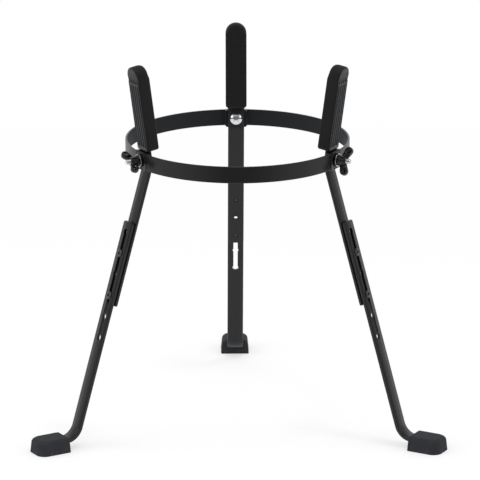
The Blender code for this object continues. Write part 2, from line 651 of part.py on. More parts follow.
def foot_mesh(name):
    """A loft up from a rounded outline, level by level, each drawn in a little more."""
    outline = rounded_outline(FOOT_WIDTH, 0, FOOT_LENGTH, FOOT_BACK_CORNER, FOOT_FRONT_CORNER)
    shoulder = FOOT_HEIGHT - FOOT_TOP_ROUND
    levels = [(0.0, FOOT_SOLE_EDGE, FOOT_SOLE_EDGE), (FOOT_SOLE_EDGE, 0.0, 0.0)]
    for turn in (0, 30, 60, 90):
        rise = math.sin(math.radians(turn))
        inset = 1 - math.cos(math.radians(turn))
        taper = FOOT_TAPER * (shoulder + FOOT_TOP_ROUND * rise) / FOOT_HEIGHT
        levels.append((shoulder + FOOT_TOP_ROUND * rise, taper + FOOT_TOP_ROUND * inset,
                       taper / 2 + FOOT_BACK_ROUND * inset))
    bm = bmesh.new()
    rings = []
    for height, front, back in levels:
        along = 1 - (front + back) / FOOT_LENGTH
        across = 1 - 2 * front / FOOT_WIDTH
        rings.append([bm.verts.new((back + x * along, y * across, height)) for y, x in outline])
    for low, high in zip(rings, rings[1:]):
        for start, end, above, beside in zip(low, low[1:] + low[:1], high[1:] + high[:1], high):
            bm.faces.new((start, end, above, beside))
    bm.faces.new(rings[0])
    bm.faces.new(rings[-1])
    return mesh_from(name, bm)


def make_foot(side, slide, home):
    """The rubber shoe on the toe, with a pocket that the bar's end fits."""
    along, out = rail_point(FOOT_REACH, 0)
    place = {"location": (home[0] + along, 0, home[2] + out), "rotation": (0, LEG_LEAN - math.pi / 2, 0)}
    foot = piece(side + "_foot", foot_mesh(side + "_foot"), slide, FOOT_RUBBER, **place)
    pocket = strip_mesh(side + "_toe_pocket", lower_bar_path(TOE_CORNER / 2), BAR_WIDTH + 2 * GAP)
    pocket = cutter(side + "_toe_pocket", pocket, slide, location=home)
    thicken(pocket, BAR_THICKNESS + 2 * GAP)
    boolean(foot, pocket)


def make_leg(side, azimuth, root):
    """One leg with everything that it carries, about its own empties."""
    leg = empty(side + "_leg", root, rotation=(0, 0, math.radians(azimuth)))
    axis = empty(side + "_bolt_axis", leg, (0, 0, RING_CENTRE_HEIGHT), (0, math.pi / 2, 0))
    rail = empty(side + "_rail", leg, (CLAMP_RADIUS, 0, LEAN_TOP_HEIGHT), (0, math.pi / 2 - LEG_LEAN, 0))
    slide = empty(side + "_slide", rail, (TOP_SCREW_BELOW_BEND, 0, RAIL_OFFSET))
    home = (-TOP_SCREW_BELOW_BEND, 0, -RAIL_OFFSET)
    make_upper_bar(side, leg, rail)
    make_saddle(side, leg)
    make_carriage_bolt(side, axis)
    make_washer(side, "nylon_washer", RING_OUTER_RADIUS + GAP, NYLON_WASHER_THICKNESS, BLACK_NYLON, axis)
    make_washer(side, "washer", WASHER_SEAT, WASHER_THICKNESS, ZINC, axis)
    make_wing_nut(side, axis)
    make_pad(side, leg)
    make_lock_screw(side, "upper", TOP_SCREW_BELOW_BEND, rail)
    make_lock_screw(side, "lower", BOTTOM_SCREW_BELOW_BEND, rail)
    make_lower_bar(side, slide, home)
    make_foot(side, slide, home)


def centre_on_floor(root):
    """Move the root so that the middle of the stand's bounding box is over the origin."""
    bpy.context.view_layer.update()
    graph = bpy.context.evaluated_depsgraph_get()
    corners = []
    for made in PARTS.objects:
        if made.type == "MESH":
            shown = made.evaluated_get(graph)
            corners += [shown.matrix_world @ Vector(corner) for corner in shown.bound_box]
    ys = [corner.y for corner in corners]
    root.location.y -= (min(ys) + max(ys)) / 2


clear_scene()
PARTS = collection("conga_stand")
CUTTERS = collection("cutters")
stand = empty("stand")
make_ring(stand)
for leg_side, leg_azimuth in LEGS.items():
    make_leg(leg_side, leg_azimuth, stand)
centre_on_floor(stand)
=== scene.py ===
"""Conga stand: finished surfaces, materials, floor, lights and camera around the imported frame.

A leg is drawn in its own frame, with X outward from the ring's axis, Y along the ring and Z up.
Each surface is a grid of points worked out with numpy from the sizes in the property groups.
"""
import math

import bmesh
import bpy
import numpy as np
from bpy.props import FloatProperty, FloatVectorProperty, PointerProperty
from bpy.types import Operator, Panel, PropertyGroup
from mathutils import Matrix, Vector


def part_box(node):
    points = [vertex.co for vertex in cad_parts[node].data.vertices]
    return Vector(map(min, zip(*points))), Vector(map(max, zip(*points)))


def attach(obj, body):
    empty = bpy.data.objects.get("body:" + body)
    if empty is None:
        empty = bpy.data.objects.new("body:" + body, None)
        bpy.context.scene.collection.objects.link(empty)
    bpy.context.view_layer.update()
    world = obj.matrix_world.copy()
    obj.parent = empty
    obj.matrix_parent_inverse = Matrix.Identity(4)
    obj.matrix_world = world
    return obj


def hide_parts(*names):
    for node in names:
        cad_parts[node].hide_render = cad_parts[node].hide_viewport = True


bl_info = {
    "name": "Conga Stand Finish",
    "version": (1, 0, 0),
    "blender": (4, 5, 0),
    "location": "View3D > Sidebar > Conga Stand",
    "description": "Surfaces, materials and studio of a three-legged conga stand",
    "category": "Object",
}

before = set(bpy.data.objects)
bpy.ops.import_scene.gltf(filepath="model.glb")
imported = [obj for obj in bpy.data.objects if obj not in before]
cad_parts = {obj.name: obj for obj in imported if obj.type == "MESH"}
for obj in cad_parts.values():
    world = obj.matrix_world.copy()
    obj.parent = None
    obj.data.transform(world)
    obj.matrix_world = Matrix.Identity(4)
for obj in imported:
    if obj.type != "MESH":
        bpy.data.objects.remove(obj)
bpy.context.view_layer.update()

MM = 0.001
GAP = 0.3 * MM
MERGE = 0.002 * MM
AZIMUTHS = {"back": 90.0, "left": 210.0, "right": 330.0}
RING_LOW, RING_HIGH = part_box("ring")
RING_Y = (RING_LOW.y + RING_HIGH.y) / 2
FIRST_AZIMUTH = math.radians(30.0)


def metres(label, value):
    """A size, given in metres."""
    return FloatProperty(name=label, default=value, min=0.0, precision=5, subtype="DISTANCE", unit="LENGTH")


def mm(label, value):
    """A size, given in millimetres."""
    return metres(label, value * MM)


def degrees(label, value):
    """An angle, given in degrees."""
    return FloatProperty(name=label, default=math.radians(value), subtype="ANGLE", unit="ROTATION")


def number(label, value, most=1.0):
    """A number without a unit."""
    return FloatProperty(name=label, default=value, min=0.0, max=most)


def colour(label, value):
    """A linear colour."""
    return FloatVectorProperty(name=label, default=value, size=3, min=0.0, max=1.0, subtype="COLOR")


class RingSizes(PropertyGroup):
    """Sizes of the rolled ring."""
    radius: metres("Outside radius", (RING_HIGH.x - RING_LOW.x) / 2)
    height: metres("Width of the strip", RING_HIGH.z - RING_LOW.z)
    middle: metres("Height of the strip's middle", (RING_HIGH.z + RING_LOW.z) / 2)
    thickness: mm("Thickness of the strip", 3.0)
    edge: mm("Rounding of the strip's edges", 0.9)
    step: mm("Length of a facet round the ring", 2.5)


class BarSizes(PropertyGroup):
    """Sizes of the flat bars."""
    width: mm("Width of the flat bar", 25.0)
    thickness: mm("Thickness of the flat bar", 4.0)
    edge: mm("Rounding of the long edges", 0.9)
    rim: mm("Rounding of the holes' rims", 0.3)
    bend: mm("Middle radius of the upper bar's bends", 30.0)
    leg_lean: degrees("Lean of the leg from upright", 16.8)
    pad_lean: degrees("Lean of the pad arm from upright", 8.2)
    below_bolt: mm("From the bolt down to the leg's bend", 15.5)
    above_bolt: mm("From the bolt up to the pad arm's bend", 9.5)
    above_bend: mm("From the pad arm's bend to the top end", 126.3)
    top_corner: mm("Corner radius inside the pad", 25.0 / 3)
    low_corner: mm("Corner radius at the lower end", 2.5)
    low_margin: mm("From the lowest screw to the lower end", 14.0)
    facet: mm("Length of a facet along a straight stretch", 9.0)
    bend_facet: mm("Length of a facet in the upper bar's bends", 1.6)


class ClampSizes(PropertyGroup):
    """Sizes of the saddle, bolt and washer."""
    saddle_wall: mm("Saddle between the bar and the ring", 6.1)
    saddle_width: mm("Saddle along the ring", 35.0)
    saddle_lip: mm("Lips over the ring's edges", 0.9)
    saddle_channel: mm("Depth of the bar's channel", 1.8)
    saddle_corner: mm("Corner radius of the saddle", 5.0)
    saddle_edge: mm("Edge rounding of the saddle", 0.8)
    bolt: mm("Diameter of the bolt", 7.8)
    bore: mm("Diameter of the bolt's holes", 8.6)
    head: mm("Diameter of the round head", 19.3)
    head_height: mm("Height of the round head", 5.0)
    neck: mm("Width of the square neck", 8.4)
    beyond_nut: mm("Bolt that shows past the nut", 6.9)
    pitch: mm("Pitch of the thread", 1.25)
    thread: mm("Depth of the thread", 0.6)
    washer: mm("Diameter of the washer", 20.0)
    washer_thickness: mm("Thickness of the washer", 1.6)
    nylon_washer: mm("Thickness of the nylon washer", 1.4)


class NutSizes(PropertyGroup):
    """Sizes of the two-winged nut."""
    hub: mm("Diameter of the hub", 15.0)
    height: mm("Height of the nut", 12.8)
    flange: mm("Diameter of the flange", 17.0)
    flange_height: mm("Height of the flange", 2.0)
    reach: mm("From the axis to a lobe's middle", 16.0)
    rise: mm("From the seat to a lobe's middle", 13.0)
    lobe: mm("Radius of a lobe", 6.2)
    root: mm("Radius of a wing's root", 5.2)
    root_rise: mm("From the seat to the root's middle", 6.6)
    web: mm("Thickness of a wing", 5.0)
    lobe_thickness: mm("Thickness of a lobe", 7.4)
    dish: mm("Radius of a lobe's dish", 3.9)
    dish_depth: mm("Depth of a lobe's dish", 0.9)
    voxel: mm("Grain at which the nut's forms are fused", 0.34)
    back: degrees("Where the back nut's wings point", 75.0)
    left: degrees("Where the left nut's wings point", -26.6)
    right: degrees("Where the right nut's wings point", 60.0)


class PadSizes(PropertyGroup):
    """Sizes of the rubber pad."""
    width: mm("Width of the pad", 32.4)
    depth: mm("Thickness of the pad", 20.8)
    length: mm("Length of the pad", 131.5)
    outer_wall: mm("Rubber on the bar's outer face", 4.2)
    back: mm("From the back bolt up to the pad's lower end", 18.4)
    left: mm("From the left bolt up to the pad's lower end", 15.3)
    right: mm("From the right bolt up to the pad's lower end", 15.3)
    edge: mm("Rounding of the pad's edges", 2.2)
    low_corner: mm("Corner radius at the lower end", 4.5)
    grooves: number("Number of grooves", 5.0, most=9.0)
    groove_pitch: mm("From groove to groove", 6.0)
    groove_depth: mm("Depth of a groove", 1.7)
    groove_rest: number("Share of that depth that goes on through the scoop", 0.3)
    outer_round: mm("Rounding of the outer face's sides", 3.4)
    groove_top: mm("Rubber above the grooves", 26.8)
    groove_low: mm("Rubber below the grooves", 6.0)
    ledge: mm("From the top down to the ledge's middle", 24.5)
    ledge_height: mm("Height of the sloping ledge", 3.4)
    scoop_top: mm("From the top down to where the scoop begins", 11.0)
    scoop: mm("Depth of the scoop over the ledge", 1.5)
    inner_round: mm("Rounding of the inner face's top", 6.5)
    row: mm("Spacing of the surface's rows", 0.28)


class RailSizes(PropertyGroup):
    """Sizes of the height rail."""
    pitch: mm("From hole to hole", 33.0)
    hole: mm("Diameter of the lower bar's holes", 9.6)
    slot: mm("Width of the slot between the holes", 6.7)
    thickness: mm("Thickness of the lower bar", 4.5)
    top_margin: mm("Bar above the first hole", 16.0)
    corner: mm("Corner radius of the bar's ends", 4.0)
    top_screw: mm("From the bend to the upper screw", 131.8)
    screw: mm("Diameter of the lock screws", 5.4)
    head: mm("Diameter of a screw's head", 12.0)
    head_height: mm("Height of a screw's head", 2.8)
    socket: mm("Radius of the hexagon socket", 2.5)
    socket_depth: mm("Depth of the socket", 1.8)
    spacer: mm("Thickness of the spacers", 2.1)
    toe_bend: mm("Middle radius of the toe's bend", 26.0)
    toe_facet: mm("Length of a facet in the toe's bend", 1.3)
    toe_height: mm("Height of the toe's middle", 13.5)
    toe_run: mm("From the bend's corner to the foot", 17.3)


class FootSizes(PropertyGroup):
    """Sizes of the rubber foot."""
    length: mm("Length of the foot", 51.96)
    width: mm("Width of the foot", 44.7)
    height: mm("Height of the foot", 22.0)
    taper: mm("How far the walls lean in", 2.2)
    front_corner: mm("Corner radius at the tip", 14.0)
    back_corner: mm("Corner radius at the bar", 2.5)
    top_round: mm("Rounding over the walls", 6.5)
    back_round: mm("Rounding at the bar", 1.5)
    sole_edge: mm("Rounding of the sole's edge", 0.6)
    end_wall: mm("Rubber past the bar's end", 10.0)
    collar: mm("From the inner end to the collar's line", 4.6)
    collar_depth: mm("Depth of the collar's line", 0.55)


class FinishColours(PropertyGroup):
    """Colours and gloss of the finishes."""
    powder: colour("Satin black powder coat", (0.0078, 0.0083, 0.0098))
    # A paler powder colour for painted light: the painted highlight on the edges and, lighter still, the
    # flat colour of the ring's painted-shade inside.
    powder_edge: colour("Powder coat where it thins", (0.017, 0.018, 0.020))
    powder_gloss: number("Roughness of the powder coat", 0.34)
    pad: colour("Rubber of the pads", (0.0050, 0.0053, 0.0061))
    foot: colour("Rubber of the feet", (0.0330, 0.0345, 0.0390))
    nylon: colour("Moulded nylon", (0.0045, 0.0045, 0.0050))
    oxide: colour("Blackened screws", (0.060, 0.061, 0.066))
    chrome: colour("Plated bolts", (0.74, 0.75, 0.77))
    zinc: colour("Plated washers", (0.56, 0.57, 0.59))


class StudioSettings(PropertyGroup):
    """Camera, lamps and floor."""
    camera_side: mm("Camera to the right of the ring's axis", 3.8)
    camera_distance: metres("Camera from the ring's axis", 5.97762)
    camera_height: metres("Camera over the floor", 2.04858)
    camera_pitch: degrees("Camera below the horizon", 16.466)
    stand_turn: degrees("How far the stand is turned in the picture", 0.81)
    lens: number("Focal length in millimetres", 306.24, most=1000.0)
    sky: number("Strength of the world on the object", 0.72)
    front: number("How bright gloss sees the front of the studio", 0.22)
    side: number("How bright gloss sees the sides of the studio", 0.50)
    floor_radius: metres("Radius of the floor", 4.0)
    floor_white: number("Colour of the floor", 0.50)
    floor_bounce: number("How much light the floor throws back on the object", 0.85)
    floor_glow: number("Glow that makes up the rest of the floor's white", 0.55)
    fade_start: metres("From the axis to where the floor begins to be only glow", 0.6)
    fade_length: metres("How far that change takes", 1.25)
    dim_middle: metres("From the axis to the middle of the front that gloss sees darker", 2.2)
    dim_outside: metres("From that middle to where it begins", 1.7)
    dim_inside: metres("From that middle to where it is whole", 0.7)


class StandSettings(PropertyGroup):
    """Everything that can be changed on the stand."""
    ring: PointerProperty(type=RingSizes)
    bar: PointerProperty(type=BarSizes)
    clamp: PointerProperty(type=ClampSizes)
    nut: PointerProperty(type=NutSizes)
    pad: PointerProperty(type=PadSizes)
    rail: PointerProperty(type=RailSizes)
    foot: PointerProperty(type=FootSizes)
    colours: PointerProperty(type=FinishColours)
    studio: PointerProperty(type=StudioSettings)


def move(x=0.0, y=0.0, z=0.0):
    """A shift along the axes."""
    return Matrix.Translation((x, y, z))


def spin(angle, axis):
    """A turn about an axis."""
    return Matrix.Rotation(angle, 4, axis)


class Layout:
    """Places that follow from the sizes, and the matrix of each local frame."""

    def __init__(self, sizes):
        ring, bar, clamp, rail, foot = sizes.ring, sizes.bar, sizes.clamp, sizes.rail, sizes.foot
        self.sizes = sizes
        self.face = bar.thickness / 2 + GAP
        self.flank = bar.width / 2 + GAP
        self.ring_inner = ring.radius - ring.thickness
        self.reach = self.ring_inner - clamp.saddle_wall - GAP - self.face
        self.lean_top = ring.middle - bar.below_bolt
        self.pad_bend = ring.middle + bar.above_bolt
        self.rail_offset = bar.thickness + rail.spacer + 2 * GAP
        self.low_screw = rail.top_screw + 2 * rail.pitch
        self.first_hole = rail.top_screw - rail.pitch
        self.down = np.array((math.sin(bar.leg_lean), -math.cos(bar.leg_lean)))
        self.out = np.array((math.cos(bar.leg_lean), math.sin(bar.leg_lean)))
        rise = self.lean_top + self.rail_offset * self.out[1] - rail.toe_height
        self.toe_corner = rise / math.cos(bar.leg_lean)
        corner = self.rail_point(self.toe_corner, self.rail_offset)
        self.foot_reach = corner[0] + rail.toe_run
        self.toe_end = self.foot_reach + foot.length - foot.end_wall
        self.washer_seat = ring.radius + 2 * GAP + clamp.nylon_washer
        self.nut_seat = self.washer_seat + clamp.washer_thickness + GAP

    def rail_point(self, along, out):
        """A point of the rail, down the bars and outward from them, in the leg's X and Z."""
        return np.array((self.reach, self.lean_top)) + along * self.down + out * self.out

    def leg(self, side):
        """The leg's frame, on the floor under the ring's axis."""
        return move(y=RING_Y) @ spin(math.radians(AZIMUTHS[side]), "Z")

    def bolt(self, side):
        """The bolt's frame, with Z outward along the bolt."""
        return self.leg(side) @ move(z=self.sizes.ring.middle) @ spin(math.pi / 2, "Y")

    def nut(self, side):
        """The nut's frame on its seat, turned to where its wings point."""
        wings = getattr(self.sizes.nut, side) + math.pi / 2
        return self.bolt(side) @ move(z=self.nut_seat) @ spin(wings, "Z")

    def pad(self, side):
        """The pad's frame at the pad arm's bend, with Z up the arm."""
        return self.leg(side) @ move(self.reach, z=self.pad_bend) @ spin(self.sizes.bar.pad_lean, "Y")

    def screw(self, side, along):
        """A lock screw's frame on the rail, with Z outward along the screw."""
        turn = spin(math.pi / 2 - self.sizes.bar.leg_lean, "Y")
        return self.leg(side) @ move(self.reach, z=self.lean_top) @ turn @ move(along)

    def foot(self, side):
        """The foot's frame, on the floor at its inner end."""
        return self.leg(side) @ move(self.foot_reach)


def columns(*values):
    """Points, or rows of points, from their coordinates."""
    return np.stack(np.broadcast_arrays(*values), axis=-1)


class Path:
    """A flat line of straight and bent stretches, measured along its length."""

    def __init__(self, corners, radii):
        points = np.array(corners, float)
        legs = np.diff(points, axis=0)
        headings = np.arctan2(legs[:, 1], legs[:, 0])
        directions = columns(np.cos(headings), np.sin(headings))
        here = points[0]
        parts = []
        for index, radius in enumerate(radii):
            turn = math.remainder(headings[index + 1] - headings[index], math.tau)
            reach = radius * math.tan(abs(turn) / 2)
            end = points[index + 1] - directions[index] * reach
            parts.append((math.dist(here, end), *here, headings[index], 0.0))
            if radius > 0:
                parts.append((radius * abs(turn), *end, headings[index], math.copysign(1 / radius, turn)))
            here = points[index + 1] + directions[index + 1] * reach
        parts.append((math.dist(here, points[-1]), *here, headings[-1], 0.0))
        parts = np.array([part for part in parts if part[0] > MERGE])
        self.runs, self.x, self.z, self.heading, self.curve = parts.T
        self.marks = np.concatenate([[0.0], np.cumsum(self.runs)])

    def at(self, along, aside):
        """Points at a length along the path and a distance to its left: each stretch is a line or an arc,
        whose heading is its first heading plus curvature times the run."""
        index = np.clip(np.searchsorted(self.marks, along, side="right") - 1, 0, len(self.runs) - 1)
        run = along - self.marks[index]
        first, curve = self.heading[index], self.curve[index]
        heading = first + curve * run
        bent = curve != 0
        divisor = np.where(bent, curve, 1.0)
        x = self.x[index] + np.where(bent, (np.sin(heading) - np.sin(first)) / divisor, run * np.cos(first))
        z = self.z[index] + np.where(bent, (np.cos(first) - np.cos(heading)) / divisor, run * np.sin(first))
        return x - aside * np.sin(heading), z + aside * np.cos(heading)

    def stations(self, low, high, straight_step, bend_step):
        """Lengths from low to high, close together in the bends."""
        kept = []
        for start, end, curve in zip(self.marks, self.marks[1:], self.curve):
            start, end = max(start, low), min(end, high)
            if end - start > MERGE:
                count = math.ceil((end - start) / (bend_step if curve else straight_step))
                kept.append(np.linspace(start, end, count + 1)[:-1])
        return np.concatenate(kept + [[high]])

    def points(self, bend_step):
        """The path as points, with only its ends on the straight stretches."""
        along = self.stations(0.0, self.marks[-1], 1.0, bend_step)
        return columns(*self.at(along, 0.0))


def shares(count):
    """Equal shares up to the whole."""
    return np.linspace(0.0, 1.0, count + 1)[1:]


def quarter(count):
    """Equally spaced turns of a quarter round."""
    return np.linspace(0.0, math.pi / 2, count)


def grid_faces(rows, columns, closed, first):
    """Quads of a grid whose points run along its rows; closed joins the last column to the first."""
    row = np.arange(rows - 1)[:, None]
    column = np.arange(columns if closed else columns - 1)[None, :]
    beside = (column + 1) % columns
    near = first + row * columns
    corners = [near + column, near + beside, near + columns + beside, near + columns + column]
    return np.stack([c.reshape(-1) for c in np.broadcast_arrays(*corners)], axis=1)


def surface(name, patches, sharp=40.0, local=None, edges=None, whole=True):
    """One mesh from patches, each a grid of points and whether its columns close round.

    Points that coincide are merged. local gives each point's place in its piece, where that isn't its
    position, and edges gives how far each point is on an edge, which the powder coat paints paler as
    painted highlight. A whole mesh has to be closed.
    """
    points = np.concatenate([grid.reshape(-1, 3) for grid, _ in patches])
    faces, first = [], 0
    for grid, closed in patches:
        faces.append(grid_faces(grid.shape[0], grid.shape[1], closed, first))
        first += grid.shape[0] * grid.shape[1]
    mesh = bpy.data.meshes.new(name)
    mesh.from_pydata(points.tolist(), [], np.concatenate(faces).tolist())
    store(mesh, "local", points if local is None else local)
    store(mesh, "edge", np.zeros(len(points)) if edges is None else edges)
    return sewn(mesh, sharp, whole)


def store(mesh, name, values):
    """Keep a number or a place for each point of a mesh, for its material to read."""
    values = np.asarray(values, np.float32)
    kind = "FLOAT_VECTOR" if values.ndim == 2 else "FLOAT"
    attribute = mesh.attributes.get(name) or mesh.attributes.new(name, kind, "POINT")
    attribute.data.foreach_set("vector" if values.ndim == 2 else "value", values.reshape(-1))


def sewn(mesh, sharp, whole=True):
    """Merge a mesh's doubles, turn its faces outward and shade it smooth up to an angle in degrees."""
    bm = bmesh.new()
    bm.from_mesh(mesh)
    bmesh.ops.remove_doubles(bm, verts=bm.verts, dist=MERGE)
    bmesh.ops.dissolve_degenerate(bm, edges=bm.edges, dist=MERGE)
    bmesh.ops.recalc_face_normals(bm, faces=bm.faces)
    loose = sum(not edge.is_manifold for edge in bm.edges)
    bm.to_mesh(mesh)
    bm.free()
    if loose and whole:
        raise RuntimeError(f"{mesh.name} isn't closed: {loose} edges")
    mesh.shade_smooth()
    mesh.set_sharp_from_angle(angle=math.radians(sharp))
    return mesh


def placed(name, data):
    """A new object in the scene."""
    made = bpy.data.objects.new(name, data)
    bpy.context.scene.collection.objects.link(made)
    return made


def settled(mesh, prepare):
    """The mesh as a temporary object shows it once prepare has given that object its modifiers."""
    holder = placed(mesh.name, mesh)
    helpers = prepare(holder) or []
    graph = bpy.context.evaluated_depsgraph_get()
    made = bpy.data.meshes.new_from_object(holder.evaluated_get(graph))
    made.name = mesh.name
    for used in [holder, *helpers]:
        bpy.data.objects.remove(used)
    return made


def cut(mesh, tools, sharp=40.0):
    """The mesh with the tool meshes cut out of it."""
    def prepare(holder):
        helpers = []
        for tool in tools:
            helpers.append(placed(tool.name, tool))
            modifier = holder.modifiers.new(tool.name, "BOOLEAN")
            modifier.operation, modifier.solver, modifier.object = "DIFFERENCE", "EXACT", helpers[-1]
        return helpers
    made = sewn(settled(mesh, prepare), sharp)
    places = np.empty(len(made.vertices) * 3, np.float32)
    made.vertices.foreach_get("co", places)
    store(made, "local", places.reshape(-1, 3))
    return made


def fused(name, meshes, voxel, smoothing):
    """Overlapping closed meshes fused into one skin, whose inner corners are softened."""
    bm = bmesh.new()
    for mesh in meshes:
        bm.from_mesh(mesh)
    mesh = bpy.data.meshes.new(name)
    bm.to_mesh(mesh)
    bm.free()

    def prepare(holder):
        remesh = holder.modifiers.new("skin", "REMESH")
        remesh.mode, remesh.voxel_size, remesh.use_smooth_shade = "VOXEL", voxel, True
        soften = holder.modifiers.new("soften", "SMOOTH")
        soften.factor, soften.iterations = 0.5, smoothing
    return settled(mesh, prepare)


def turned(name, profile, steps=72, radius=None, closed=False, whole=True):
    """A profile of (radius, height) points carried round Z: x = r cos a, y = r sin a.

    radius may change each point's radius for its angle and height. A closed profile ends where it starts.
    """
    profile = np.asarray(profile, float)
    around = np.arange(steps) / steps * math.tau
    radii, heights = profile[:, :1], profile[:, 1:]
    if radius:
        radii = radius(radii, heights, around)
    points = columns(radii * np.cos(around), radii * np.sin(around), heights)
    if closed:
        points = np.concatenate([points, points[:1]])
    return surface(name, [(points, True)], whole=whole)


def bore_rod(radius, low, high):
    """A plain rod along Z, for cutting."""
    return turned("bore", [(0.0, high), (radius, high), (radius, low), (0.0, low)], 48)


def block(name, low, high):
    """A plain box between two corners, for cutting."""
    bm = bmesh.new()
    size = np.subtract(high, low)
    place = move(*(np.add(low, high) / 2)) @ Matrix.Diagonal((*size, 1.0))
    bmesh.ops.create_cube(bm, size=1.0, matrix=place)
    mesh = bpy.data.meshes.new(name)
    bm.to_mesh(mesh)
    bm.free()
    return mesh


def rounded_edge(edge, half, steps=5):
    """A quarter-round edge, top to bottom: inset = e (1 - sin a), height = half - e + e cos a."""
    turn = quarter(steps + 1)
    inset = edge * (1 - np.sin(turn))
    height = half - edge + edge * np.cos(turn)
    return np.concatenate([inset, inset[::-1]]), np.concatenate([height, -height[::-1]])


def keyholes(first, pitch, count, radius, slot):
    """Half of a row of round holes joined by a slot, as a function of how far it is widened:
    arcs s = c + r cos a, y = r sin a, and between them the slot's edge y = half its width."""
    def half(widen):
        r, side = radius + widen, slot / 2 + widen
        neck = math.asin(min(1.0, side / r))
        along, across = [], []
        for index in range(count):
            start = math.pi if index == 0 else math.pi - neck
            end = 0.0 if index == count - 1 else neck
            turn = np.linspace(start, end, 17)
            along.append(first + index * pitch + r * np.cos(turn))
            across.append(r * np.sin(turn))
            if index < count - 1:
                bridge = np.linspace(along[-1][-1], along[-1][-1] + pitch - 2 * r * math.cos(neck), 6)[1:-1]
                along.append(bridge)
                across.append(np.full(len(bridge), side))
        return np.concatenate(along), np.concatenate(across)
    return half


def round_hole(centre, diameter):
    """Half of one round hole."""
    return keyholes(centre, 0.0, 1, diameter / 2, diameter)


def square_hole(centre, width):
    """Half of a square hole with soft corners: s = c + a cos^p, y = a sin^p."""
    def half(widen):
        turn = np.linspace(math.pi, 0.0, 21)
        reach = width / 2 + widen
        along = centre + reach * np.sign(np.cos(turn)) * np.abs(np.cos(turn)) ** 0.3
        return along, reach * np.abs(np.sin(turn)) ** 0.3
    return half


def bar_surface(name, place, total, width, thickness, edge, rim_edge, stations, holes, corners=None,
                inside=0.0):
    """A flat bar with rounded edges, rounded ends and holes, or a ring of it where corners is None.

    Each column of points runs from the middle line, or from a hole's rim, out over the face, round the
    edge and back on the other face; place bends (along, out from the middle) into two coordinates.
    inside is the mark stored on the inner face, where below 0 the powder coat paints shade.
    """
    half_width, half = width / 2, thickness / 2
    insets, heights = rounded_edge(edge, half)
    rim_insets, rim_heights = rounded_edge(rim_edge, half)
    sides, inner = [], []
    low = corners[0] if corners else 0.0
    for hole in holes:
        rim = hole(rim_edge)
        centre = rim[0].mean()
        margin = min(3.0 * MM, half_width / 4)
        spread = (rim[0] - centre) * (1 + 2 * margin / np.ptp(rim[0])) + centre
        run = stations(low, spread[0])
        sides += [run, spread]
        inner += [(run, 0 * run), rim]
        low = stations(spread[-1], total)[1]
    run = stations(low, total - corners[1]) if corners else stations(low, total)[:-1]
    inner.append((run, 0 * run))
    sides = np.concatenate([*sides, run])

    def corner(radius, inset):
        """An end's outline from its middle round one corner."""
        flat = np.linspace(0.0, half_width - radius, 9)
        turn = quarter(9)[1:-1]
        along = np.concatenate([np.full(9, inset), radius - (radius - inset) * np.cos(turn)])
        across = np.concatenate([flat, half_width - radius + (radius - inset) * np.sin(turn)])
        return along, across

    def outline(inset):
        """The face's outline, drawn in by an inset."""
        along, across = sides, np.full(len(sides), half_width - inset)
        if corners:
            start, end = corner(corners[0], inset), corner(corners[1], inset)
            along = np.concatenate([start[0], along, total - end[0][::-1]])
            across = np.concatenate([start[1], across, end[1][::-1]])
        return along, across

    if corners:
        count = len(corner(corners[0], 0.0)[0])
        start = np.linspace(edge, corners[0], count + 1)[:-1]
        end = total - np.linspace(corners[1], edge, count + 1)[1:]
        inner = [(start, 0 * start), *inner, (end, 0 * end)]
    near, far = np.concatenate(inner, axis=1), np.array(outline(edge))
    rows = [near + t * (far - near) for t in (0.0, 0.04, 0.5, 0.96, 1.0)]
    middle = len(insets) // 2
    # The rounded edges and the side carry a mark of 0.6 to 1, which the powder coat paints paler as painted
    # highlight.
    wall = [(*outline(insets[index]), heights[index], 1.0 - abs(index - middle + 0.5) / middle * 0.4)
            for index in range(1, len(insets) - 1)]
    grids = [[(*row, half, 0.0) for row in rows] + wall + [(*row, -half, inside) for row in reversed(rows)]]
    for hole in holes:
        grids.append([(*hole(inset), height, 0.0) for inset, height in zip(rim_insets, rim_heights)])
    patches, local, edges = [], [], []
    for index, grid in enumerate(grids):
        s, y, n, edge_mark = np.array([np.broadcast_arrays(*row) for row in grid]).transpose(1, 0, 2)
        u, v = place(s, n)
        for hand in (1.0, -1.0):
            points = columns(u, hand * y, v) if corners else columns(u, v, hand * y)
            patches.append((points, corners is None and index == 0))
            local.append(columns(s, hand * y if corners else 0.0, n).reshape(-1, 3))
            edges.append(edge_mark.reshape(-1))
    return surface(name, patches, sharp=50.0, local=np.concatenate(local), edges=np.concatenate(edges))


def rounded_outline(width, low, high, low_corner, high_corner, sides, low_steps=7, turns=11):
    """A rectangle from low to high with its own corner radius at each end, as points, their outward
    normals and the points of its middle line that they draw in to. Both sides have points at the
    same heights, so that they meet on the middle line."""
    half = width / 2
    turn = quarter(turns)
    sides = sides[(sides > low + low_corner) & (sides < high - high_corner)]
    flat = np.linspace(0.0, half - low_corner, low_steps + 1)[:-1]
    top = np.linspace(half - high_corner, 0.0, 8)[1:] if half - high_corner > MERGE else np.zeros(0)
    x = np.concatenate([flat, half - low_corner + low_corner * np.sin(turn), np.full(len(sides), half),
                        half - high_corner + high_corner * np.cos(turn), top])
    z = np.concatenate([np.full(low_steps, low), low + low_corner * (1 - np.cos(turn)), sides,
                        high - high_corner * (1 - np.sin(turn)), np.full(len(top), high)])
    upright = np.ones(len(sides))
    nx = np.concatenate([0 * flat, np.sin(turn), upright, np.cos(turn), 0 * top])
    nz = np.concatenate([0 * flat - 1, -np.cos(turn), 0 * upright, np.sin(turn), 0 * top + 1])
    right, normal = columns(x, z), columns(nx, nz)
    keep = right[1:, 0] > MERGE
    left = (right[1:][keep] * (-1, 1))[::-1]
    points = np.concatenate([right, left])
    normals = np.concatenate([normal, (normal[1:][keep] * (-1, 1))[::-1]])
    middle = columns(0.0, np.clip(points[:, 1], low + half, high - half))
    return points, normals, middle


